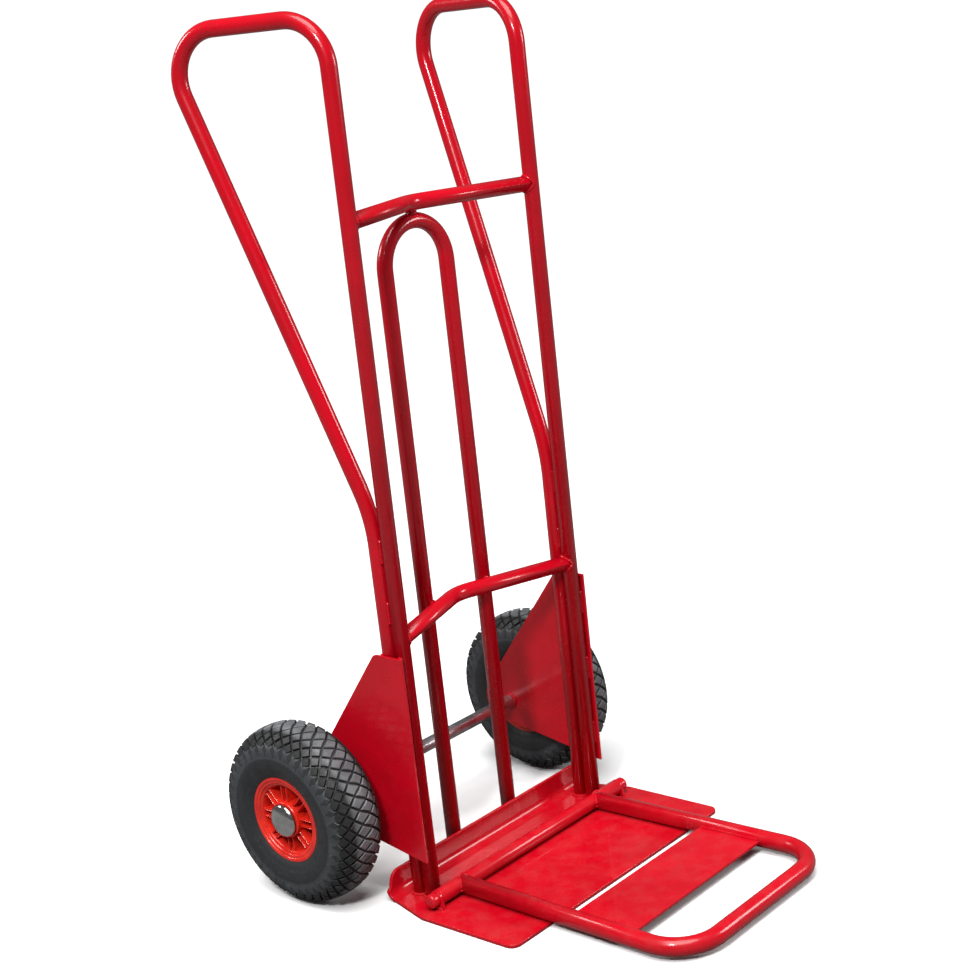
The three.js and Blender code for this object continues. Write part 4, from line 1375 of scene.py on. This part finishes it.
@dataclass
class Frame:
    """Everything that doesn't move: loops, bars, plate, brackets, axle and hinge lugs."""

    datums: Datums
    coat: Finish
    weld_coat: Finish
    zinc: Finish
    chrome: dict[Side, Finish]

    def lower_bar_depth(self, loop: CentreLoop, upright: float) -> float:
        """How far back the lower bar bows so that its straight halves just reach the hoop's legs."""
        reach = FRAME_TUBE.outside + GAP
        share = 1 - loop.half_width / upright
        a = (upright * share) ** 2 - reach ** 2
        b = -2 * upright ** 2 * loop.depth * share
        c = upright ** 2 * (loop.depth ** 2 - reach ** 2)
        return (-b - math.sqrt(b * b - 4 * a * c)) / (2 * a)

    def build(self, bench: Bench) -> None:
        """Builds every piece of the frame and its welds."""
        loops = [SideLoop(side) for side in Side]
        hoop = CentreLoop()
        upper = self.datums.middle("upper_crossbar").z
        lower = self.datums.middle("lower_crossbar").z
        tubes = WeldGun(seed=3)
        for loop in loops:
            loop.build(bench, self.coat)
            loop.welds(tubes)
        upright = loops[0].upright
        behind = (loops[0].tail_at(lower), loops[0].tail_behind)
        depth = self.lower_bar_depth(hoop, upright)
        Crossbar("upper_crossbar", upper, hoop.depth, neighbours=((upright, 0.0),)).build(
            bench, self.coat, tubes)
        Crossbar("lower_crossbar", lower, depth, neighbours=((upright, 0.0), behind)).build(
            bench, self.coat, tubes)
        hoop.build(bench, self.coat, upper)
        self.hoop_welds(tubes, hoop, upper, lower, depth, upright)
        bench.place("frame_tube_welds", tubes.finish(), self.weld_coat, Body.FRAME)
        ToePlate(self.datums).build(bench, self.coat)
        plates = WeldGun(seed=5)
        for side in Side:
            AxleBracket(side, self.datums).build(bench, self.coat, plates)
            HingeLug(side, self.datums).build(bench, self.coat, plates)
            self.bracket_welds(plates, side, loops[0])
        bench.place("frame_plate_welds", plates.finish(), self.weld_coat, Body.FRAME)
        AxleSet(self.datums).build(bench, self.zinc, self.chrome, self.coat)

    def hoop_welds(self, gun: WeldGun, hoop: CentreLoop, upper: float, lower: float, depth: float,
                   upright: float) -> None:
        """Beads where the hoop meets the two crossbars and the plate's lip."""
        crown = upper - hoop.below_bar / 2
        sag = BEND_RADIUS * (1 / math.cos(math.atan(hoop.depth / upright)) - 1)
        middle = Vector((0.0, hoop.depth - sag / 2, crown))
        for lift, size in ((mm(-2.2), 6.6), (mm(2.2), 6.6), (0.0, 5.6)):
            gun.ring(middle + Z_AXIS * lift, X_AXIS * mm(size), Y_AXIS * mm(size - 1.2), mm(2.6), 24)
        lip = self.datums.high("toe_plate")
        for sign in (-1.0, 1.0):
            along = Vector((-sign * upright, depth, 0.0)).normalized()
            ahead = Vector((along.y, -along.x, 0.0)) * -sign
            leg = Vector((sign * hoop.half_width, hoop.depth, lower))
            contact = leg + ahead * (FRAME_TUBE.outside + GAP) / 2
            gun.ring(contact, along * mm(7.0), Z_AXIS * mm(7.0), mm(2.8), 24)
            for off in (mm(-5.0), mm(5.0)):
                x, y = sign * hoop.half_width + off, lip.y + mm(0.8)
                gun.lay([Vector((x, y, hoop.foot + mm(4))), Vector((x, y, lip.z - mm(2)))], mm(2.6))

    def bracket_welds(self, gun: WeldGun, side: Side, loop: SideLoop) -> None:
        """Stitches down the creases between a bracket and the two tubes it stands against."""
        node = f"{side.word}_axle_bracket"
        inner = self.datums.low(node).x if side is Side.RIGHT else -self.datums.high(node).x
        x = side.value * (inner - mm(1.2))
        for start in (mm(92), mm(196), mm(300)):
            for y in (mm(-5.2), loop.tail_behind + mm(5.2)):
                gun.lay([Vector((x, y, start)), Vector((x, y, start + mm(34)))], mm(2.5))
        top = self.datums.high(node).z - mm(0.3)
        for y in (mm(-5.0), loop.tail_behind + mm(5.0)):
            gun.lay([Vector((x, y - mm(3.0), top)), Vector((x, y + mm(3.0), top))], mm(2.2))


# ---------------------------------------------------------------------------- the folding toe


@dataclass
class FoldingToe:
    """The tube frame with a flat strip that folds up against the uprights."""

    datums: Datums
    coat: Finish
    weld_coat: Finish
    rear_half_width: float = mm(153.4)
    half_width: float = mm(161.6)
    bend_radius: float = BEND_RADIUS
    strip_edge: float = mm(0.8)
    hinge_bore: float = mm(6.6)
    facet_share: float = math.cos(math.pi / 20)

    def build(self, bench: Bench) -> None:
        """Builds the tube, the strip, the hinge tube and their welds."""
        hinge = self.datums.pivot("toe_fold")
        low = self.datums.low("toe_frame_tube")
        front = low.y + TOE_TUBE.radius * self.facet_share
        gun = WeldGun(seed=7)
        corners = [Vector((x, y, hinge.z)) for x, y in
                   ((-self.rear_half_width, hinge.y), (-self.half_width, front),
                    (self.half_width, front), (self.rear_half_width, hinge.y))]
        bender = TubeBender(TOE_TUBE, corners[0], corners[1])
        bender.follow(corners, [(self.bend_radius, 14), (self.bend_radius, 14)])
        barrel = self.datums.high("toe_hinge_tube").z - hinge.z
        post = Post(hinge.copy(), X_AXIS, barrel + GAP)
        for first in (True, False):
            cut = bender.fit_end([post], first)
            self.leg_weld(gun, cut, hinge)
        bench.place("toe_frame_tube_bent", bender.finish(), self.coat, Body.TOE, "toe_frame_tube",
                    wall=TOE_TUBE.wall)
        self.strip(bench, gun, hinge, front)
        self.hinge_tube(bench, hinge, barrel)
        bench.place("toe_welds", gun.finish(), self.weld_coat, Body.TOE)

    def leg_weld(self, gun: WeldGun, cut: Sequence[Vector], hinge: Vector) -> None:
        """Lays a bead over the upper part of a leg's cut end, clear of the plate below."""
        upper = [place for place in cut if place.z > hinge.z - mm(5)]
        middle = sum(upper, Vector()) / len(upper)
        ordered = sorted(upper, key=lambda p: math.atan2(p.z - hinge.z, p.x - middle.x))
        gun.lay(ordered, mm(2.3))

    def strip(self, bench: Bench, gun: WeldGun, hinge: Vector, front: float) -> None:
        """The flat strip between the legs, welded to both along its ends."""
        low, high = self.datums.low("toe_strip"), self.datums.high("toe_strip")

        def inside(y: float) -> float:
            """Half of the room between the legs."""
            share = (hinge.y - y) / (hinge.y - front)
            leg = self.rear_half_width + (self.half_width - self.rear_half_width) * share
            return leg - TOE_TUBE.radius - GAP

        outline = [Vector((sign * inside(y), y, low.z)) for sign, y in
                   ((-1, low.y), (1, low.y), (1, high.y), (-1, high.y))]
        bm = flat_sheet(outline, Z_AXIS * (high.z - low.z), self.strip_edge)
        bench.place("toe_strip_cut", bm, self.coat, Body.TOE, "toe_strip", even=True)
        for sign in (-1, 1):
            for z in (high.z + mm(0.9), low.z - mm(0.9)):
                gun.lay([Vector((sign * (inside(y) + mm(0.4)), y, z))
                         for y in (low.y + mm(3), high.y - mm(3))], mm(2.0))

    def hinge_tube(self, bench: Bench, hinge: Vector, barrel: float) -> None:
        """The tube that turns on the hinge rod."""
        low, high = self.datums.low("toe_hinge_tube"), self.datums.high("toe_hinge_tube")
        bore = self.hinge_bore
        profile = [(low.x, bore), (low.x, barrel), (high.x, barrel), (high.x, bore)]
        bm = turned(profile, Vector((0.0, hinge.y, hinge.z)), 1.0, 48, mm(0.6))
        bench.place("toe_hinge_tube_turned", bm, self.coat, Body.TOE, "toe_hinge_tube")


# ----------------------------------------------------------------------------------- the wheels


@dataclass
class TyreSection:
    """The tyre's round section with square shoulders."""

    wheel_radius: float = mm(130)
    width: float = mm(85)
    squareness: float = 0.8

    @property
    def radius(self) -> float:
        """Half of the section's width."""
        return self.width / 2

    @property
    def middle(self) -> float:
        """The section centre's distance from the axle."""
        return self.wheel_radius - self.radius

    def at(self, angle: float, sink: float = 0.0) -> tuple[float, float]:
        """A point on the section.

        Args:
            angle: from the outer side towards the tread, in radians.
            sink: how far under the surface.

        Returns:
            The place along X from the wheel's middle and the distance from the axle.
        """
        size = self.radius - sink
        cos, sin = math.cos(angle), math.sin(angle)
        along = math.copysign(abs(cos) ** self.squareness, cos)
        lift = abs(sin) ** self.squareness if sin > 0 else sin
        return size * along, self.middle + size * lift


@dataclass
class Wheel:
    """An air-filled wheel: tyre, two rim halves, bearings and valve."""

    side: Side
    datums: Datums
    rubber: Finish
    plastic: Finish
    tube_rubber: Finish
    zinc: Finish
    cap: Finish
    section: TyreSection
    tread_rows: int = 8
    blocks_round: int = 40
    row_step: float = math.radians(15.6)
    block_depth: float = mm(3.6)
    groove: float = mm(3.2)
    line_depth: float = mm(0.8)
    line_angle: float = math.radians(6)
    tread_from: float = math.radians(24)
    tread_fade: float = math.radians(14)
    bead_toe: float = mm(20)
    carcass_wall: float = mm(7)
    lug_share: float = 0.33
    lug_lift: float = mm(0.2)
    flange_radius: float = mm(62.3)
    flange_inner: float = mm(30)
    seat_radius: float = mm(51)
    half_width: float = mm(36)
    boss_radius: float = mm(27)
    rib_pairs: int = 8
    rib_spacing: float = mm(10)
    rib_thickness: float = mm(2.6)
    rib_recess: float = mm(6)

    @property
    def centre(self) -> Vector:
        """The wheel's middle, on its joint."""
        return self.datums.pivot(f"{self.side.word}_wheel_spin")

    def build(self, bench: Bench) -> None:
        """Builds the tyre and rim, and dresses the pieces that keep their CAD shape."""
        word, body = self.side.word, self.side.wheel
        bench.place(f"{word}_tyre_moulded", self.tyre(), self.rubber, body, f"{word}_tyre", sharp=42)
        for name, inward in (("outer", False), ("inner", True)):
            node = f"{word}_{name}_rim_half"
            bench.place(f"{node}_moulded", self.rim_half(inward), self.plastic, body, node, even=True)
        for name, finish in (("inner_tube", self.tube_rubber), ("outer_bearing", self.zinc),
                             ("inner_bearing", self.zinc), ("valve_stem", self.tube_rubber),
                             ("valve_cap", self.cap)):
            bench.dress_node(self.datums, f"{word}_{name}", finish)

    def carcass_profile(self) -> list[tuple[float, float]]:
        """The tyre's section without its tread blocks, from bead to bead and back inside."""
        lip = self.flange_radius + GAP
        seat = self.seat_radius + GAP
        heel = self.flange_inner - GAP
        start = math.asin((lip - self.section.middle) / self.section.radius)
        outside, steps = [], 32
        for i in range(steps + 1):
            angle = start + (math.pi / 2 - start) * i / steps
            sink = self.block_depth * min(1.0, max(0.0, (angle - self.tread_from) / self.tread_fade))
            if abs(angle - self.line_angle) < math.radians(1.9):
                sink += self.line_depth
            if math.radians(-22) < angle < math.radians(-18):
                sink += self.line_depth * 0.7
            outside.append(self.section.at(angle, sink))
        outside[0] = (outside[0][0], lip)
        half = [(self.bead_toe, seat), (heel, seat), (heel, lip)] + outside
        cavity = self.section.radius - self.carcass_wall
        inside = [(cavity * math.cos(a), self.section.middle + cavity * math.sin(a))
                  for a in (math.radians(90 - 15 * i) for i in range(10))]
        mirrored = [(-along, radius) for along, radius in half]
        back = [(-along, radius) for along, radius in inside[1:]]
        return mirrored + half[:-1][::-1] + inside[::-1] + back

    def tyre(self) -> bmesh.types.BMesh:
        """The carcass with its tread blocks and shoulder lugs set on it."""
        bm = bmesh.new()
        turn_profile(bm, self.carcass_profile(), self.centre, self.side.value, 144)
        face_out(bm)
        # Marks the tread, where the finish lays its painted shade in the grooves and painted sheen on the
        # block tops.
        tread = bm.verts.layers.float.new("tread")
        edge = self.section.at(math.radians(30), self.block_depth)[1]
        for vertex in bm.verts:
            away = vertex.co - self.centre
            if math.hypot(away.y, away.z) > edge and abs(away.x) < self.section.radius:
                vertex[tread] = 1.0
        self.add_tread(bm)
        return bm

    def add_tread(self, bm: bmesh.types.BMesh) -> None:
        """Sets the rows of blocks and the shoulder lugs on the carcass."""
        blocks = bmesh.new()
        tread = blocks.verts.layers.float.new("tread")
        block = self.block_pattern()
        pitch = math.tau / self.blocks_round
        for row in range(self.tread_rows):
            across = math.pi / 2 + self.row_step * (row - (self.tread_rows - 1) / 2)
            for number in range(self.blocks_round):
                self.set_block(blocks, block, tread, pitch * (number + 0.5 * (row % 2)), across)
        for outer in (-1.0, 1.0):
            across = math.pi / 2 + outer * self.row_step * ((self.tread_rows + 1) / 2)
            shift = 0.5 * (self.tread_rows % 2) if outer > 0 else 0.5
            for number in range(self.blocks_round):
                self.set_lug(blocks, block, tread, pitch * (number + shift), across, outer)
        blocks.to_mesh(block)
        blocks.free()
        bm.from_mesh(block)
        bpy.data.meshes.remove(block)

    @staticmethod
    def block_pattern() -> bpy.types.Mesh:
        """One tread block in plain numbers: round the wheel, across the tread and up, each up to 1."""
        bm = bmesh.new()
        foot = 1.07
        made = bmesh.ops.create_circle(bm, cap_ends=True, radius=foot, segments=4)
        edges = list({edge for v in made["verts"] for edge in v.link_edges})
        bmesh.ops.subdivide_edges(bm, edges=edges, cuts=1, use_grid_fill=True)
        bmesh.ops.translate(bm, vec=Z_AXIS * -0.35, verts=bm.verts[:])
        faces = bm.faces[:]
        for height, scale in ((0.74, 1 / foot), (1.0, 0.86)):
            grown = bmesh.ops.extrude_face_region(bm, geom=faces)["geom"]
            top = vertices_of(grown)
            bmesh.ops.translate(bm, vec=Z_AXIS * (height - top[0].co.z), verts=top)
            bmesh.ops.scale(bm, vec=Vector((scale, scale, 1.0)), verts=top)
            faces = [item for item in grown if isinstance(item, bmesh.types.BMFace)]
        pattern = bpy.data.meshes.new("block_pattern")
        bm.to_mesh(pattern)
        bm.free()
        return pattern

    @staticmethod
    def copy_block(bm: bmesh.types.BMesh, block: bpy.types.Mesh) -> list[bmesh.types.BMVert]:
        """Adds a copy of the block pattern and returns its vertices."""
        start = len(bm.verts)
        bm.from_mesh(block)
        bm.verts.ensure_lookup_table()
        return [bm.verts[i] for i in range(start, start + len(block.vertices))]

    def set_block(self, bm: bmesh.types.BMesh, block: bpy.types.Mesh, tread: Any, round_angle: float,
                  across: float) -> None:
        """Copies the block pattern onto the tread.

        Args:
            bm: the mesh that all the blocks are gathered in.
            block: the block pattern.
            tread: the vertex layer that marks tread.
            round_angle: the block's place round the wheel.
            across: the block's place across the section.
        """
        half_round = math.pi / self.blocks_round
        long, wide = half_round * self.section.wheel_radius, self.row_step * self.section.radius
        trim = self.groove / 2 * math.hypot(long, wide) / (long * wide)
        for vertex in self.copy_block(bm, block):
            a, b, height = vertex.co
            angle = across + b * self.row_step * (1 - trim)
            x, radius = self.section.at(angle, self.block_depth * (1 - height))
            self.put(vertex, x, radius, round_angle + a * half_round * (1 - trim))
            vertex[tread] = 1.0

    def set_lug(self, bm: bmesh.types.BMesh, block: bpy.types.Mesh, tread: Any, round_angle: float,
                across: float, outer: float) -> None:
        """Copies the block pattern onto the shoulder as a long lug that fades into the side wall."""
        half_round = math.tau / self.blocks_round * self.lug_share
        for vertex in self.copy_block(bm, block):
            a, b, height = vertex.co
            angle = across - outer * math.radians(1.0) + b * self.row_step * 0.86
            x, radius = self.section.at(angle, self.block_depth * 0.72 * (1 - height) - self.lug_lift)
            self.put(vertex, x, radius, round_angle + a * half_round)
            # The lugs take most of the tread's painted shade and painted sheen.
            vertex[tread] = 0.7

    def put(self, vertex: bmesh.types.BMVert, x: float, radius: float, turn: float) -> None:
        """Moves a vertex to a place on the wheel."""
        vertex.co = self.centre + Vector((x, radius * math.sin(turn), radius * math.cos(turn)))

    def rim_half(self, inward: bool) -> bmesh.types.BMesh:
        """Half of the rim with its pairs of ribs.

        Args:
            inward: whether it is the half that faces the truck's middle.

        Returns:
            The half's mesh.
        """
        sign = self.side.value * (-1.0 if inward else 1.0)
        mid, barrel, web = GAP / 2, self.seat_radius - mm(4.5), mm(3.5)
        bearing, bore, face = mm(21.3), mm(14), self.half_width
        flange, boss, seat_depth = self.flange_radius, self.boss_radius, face - mm(12.3)
        profile = [
            (mid, self.seat_radius), (self.flange_inner, self.seat_radius), (self.flange_inner, flange),
            (face, flange), (face, flange - mm(4.2)), (face - mm(1.3), flange - mm(5.0)),
            (face - mm(1.3), flange - mm(8.6)), (face - mm(3.4), flange - mm(9.6)),
            (face - mm(4.4), barrel + mm(3.2)), (self.flange_inner - mm(4), barrel),
            (web, barrel), (web, boss), (face - mm(1.5), boss - mm(0.8)), (face, boss - mm(1.8)),
            (face, bearing), (seat_depth, bearing), (seat_depth, bore), (mid, bore),
        ]
        bm = turned(profile, self.centre, sign, 96, mm(0.5))
        for pair in range(self.rib_pairs):
            for off in (-self.rib_spacing / 2, self.rib_spacing / 2):
                self.add_rib(bm, sign, math.tau * pair / self.rib_pairs, off, barrel, web)
        return bm

    def add_rib(self, bm: bmesh.types.BMesh, sign: float, turn: float, off: float, barrel: float,
                web: float) -> None:
        """Adds one rib from the boss to the barrel, tapered towards its outer edge."""
        inner, outer = self.boss_radius - mm(1.5), barrel + mm(1.5)
        near, far = web - mm(1), self.half_width - self.rib_recess
        cube = bmesh.ops.create_cube(bm, size=1.0)["verts"]
        for vertex in cube:
            along, draft = (near, 1.0) if vertex.co.x < 0 else (far, 0.78)
            radius = inner if vertex.co.z < 0 else outer
            vertex.co = Vector((sign * along, off + vertex.co.y * self.rib_thickness * draft, radius))
        edges = [edge for edge in {e for v in cube for e in v.link_edges}
                 if all(abs(v.co.x) > far - MERGE for v in edge.verts)]
        made = bmesh.ops.bevel(bm, geom=edges, offset=mm(0.7), offset_type="OFFSET", segments=2, profile=0.5,
                               affect="EDGES", clamp_overlap=True, material=-1)
        points = [v for v in set(cube) | set(made["verts"]) if v.is_valid]
        faces = list({face for v in points for face in v.link_faces})
        bmesh.ops.recalc_face_normals(bm, faces=faces)
        bmesh.ops.transform(bm, matrix=Matrix.Translation(self.centre) @ Matrix.Rotation(turn, 4, "X"),
                            verts=points)


# ----------------------------------------------------------------------------------- the studio


@dataclass
class Studio:
    """Camera, pale floor and soft light."""

    camera_place: tuple[float, float, float] = (-1.8115, -1.6783, 1.1778)
    camera_right: tuple[float, float, float] = (0.65176, -0.75073, -0.10777)
    camera_back: tuple[float, float, float] = (-0.71385, -0.65522, 0.24719)
    lens: float = 68.08
    lit_point: tuple[float, float, float] = (0.0, -0.05, 0.55)
    room_light: tuple[float, float] = (0.13, 1.1)
    floor_size: float = 40.0

    def camera(self) -> None:
        """Makes the camera, a little rolled."""
        data = bpy.data.cameras.new("camera")
        data.lens, data.sensor_width = self.lens, 36.0
        data.clip_start, data.clip_end = 0.05, 100.0
        camera = in_scene("camera", data)
        right, back = Vector(self.camera_right).normalized(), Vector(self.camera_back).normalized()
        up = back.cross(right)
        turn = Matrix((right, up, back)).transposed().to_4x4()
        camera.matrix_world = Matrix.Translation(self.camera_place) @ turn
        bpy.context.scene.camera = camera

    def floor(self) -> None:
        """Lays the floor under the truck."""
        bm = bmesh.new()
        bmesh.ops.create_grid(bm, x_segments=4, y_segments=4, size=self.floor_size / 2)
        mesh = bpy.data.meshes.new("floor")
        bm.to_mesh(mesh)
        bm.free()
        mesh.materials.append(FloorPaint().material())
        floor = in_scene("floor", mesh)
        floor.location = (0.0, 0.0, -mm(0.5))

    def lamp(self, name: str, place: tuple[float, float, float], size: float, power: float) -> None:
        """Hangs a soft square lamp that points at the truck's middle."""
        data = bpy.data.lights.new(name, "AREA")
        data.size, data.energy = size, power
        lamp = in_scene(name, data)
        lamp.location = place
        lamp.rotation_euler = (Vector(self.lit_point) - Vector(place)).to_track_quat("-Z", "Y").to_euler()

    def light(self) -> None:
        """Sets the room's light and hangs the lamps."""
        world = bpy.data.worlds.new("room")
        world.use_nodes = True
        graph = Graph(world.node_tree)
        seen = graph.add("ShaderNodeLightPath").outputs["Is Camera Ray"]
        dim, bright = self.room_light
        strength = graph.add("ShaderNodeMapRange", {"Value": seen, "To Min": dim, "To Max": bright})
        graph.feed(world.node_tree.nodes["Background"], {
            "Color": (1.0, 1.0, 1.0, 1.0), "Strength": strength.outputs["Result"]})
        bpy.context.scene.world = world
        sun = bpy.data.lights.new("sky_lamp", "SUN")
        sun.energy, sun.angle = 3.9, math.radians(45)
        sky = in_scene("sky_lamp", sun)
        sky.rotation_euler = (math.radians(12), math.radians(-14), 0.0)
        self.lamp("key_lamp", (-2.4, -1.1, 2.6), 0.42, 75.0)
        self.lamp("fill_lamp", (2.4, -2.4, 1.7), 0.9, 40.0)
        self.lamp("rear_lamp", (-1.4, 2.6, 2.2), 0.8, 34.0)
        bpy.context.scene.view_settings.view_transform = "Standard"

    def build(self) -> None:
        """Sets up the whole studio."""
        self.camera()
        self.floor()
        self.light()


def main() -> None:
    """Builds the studio, the frame, the folding toe and the wheels, in that order."""
    logging.basicConfig(level=logging.INFO, format="%(name)s: %(message)s")
    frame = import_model()
    datums = Datums(frame)
    bench = Bench()
    Studio().build()
    coat, weld_coat = PowderCoat(), PowderCoat(name="red_powder_coat_over_weld", peel_wave=0.3)
    zinc = ZincSteel()
    centres = {side: tuple(datums.pivot(f"{side.word}_wheel_spin")) for side in Side}
    chrome = {side: ChromeCap(name=f"chrome_cap_{side.word}", centre=centres[side]) for side in Side}
    Frame(datums, coat, weld_coat, zinc, chrome).build(bench)
    FoldingToe(datums, coat, weld_coat).build(bench)
    for side in Side:
        rubber = TyreRubber(name=f"tyre_rubber_{side.word}", centre=centres[side])
        wheel = Wheel(side, datums, rubber, RimPlastic(), TubeRubber(), zinc, BlackPlastic(), TyreSection())
        wheel.build(bench)
    log.info("%d pieces are in place", len(bench.placed))


if __name__ == "__main__":
    main()
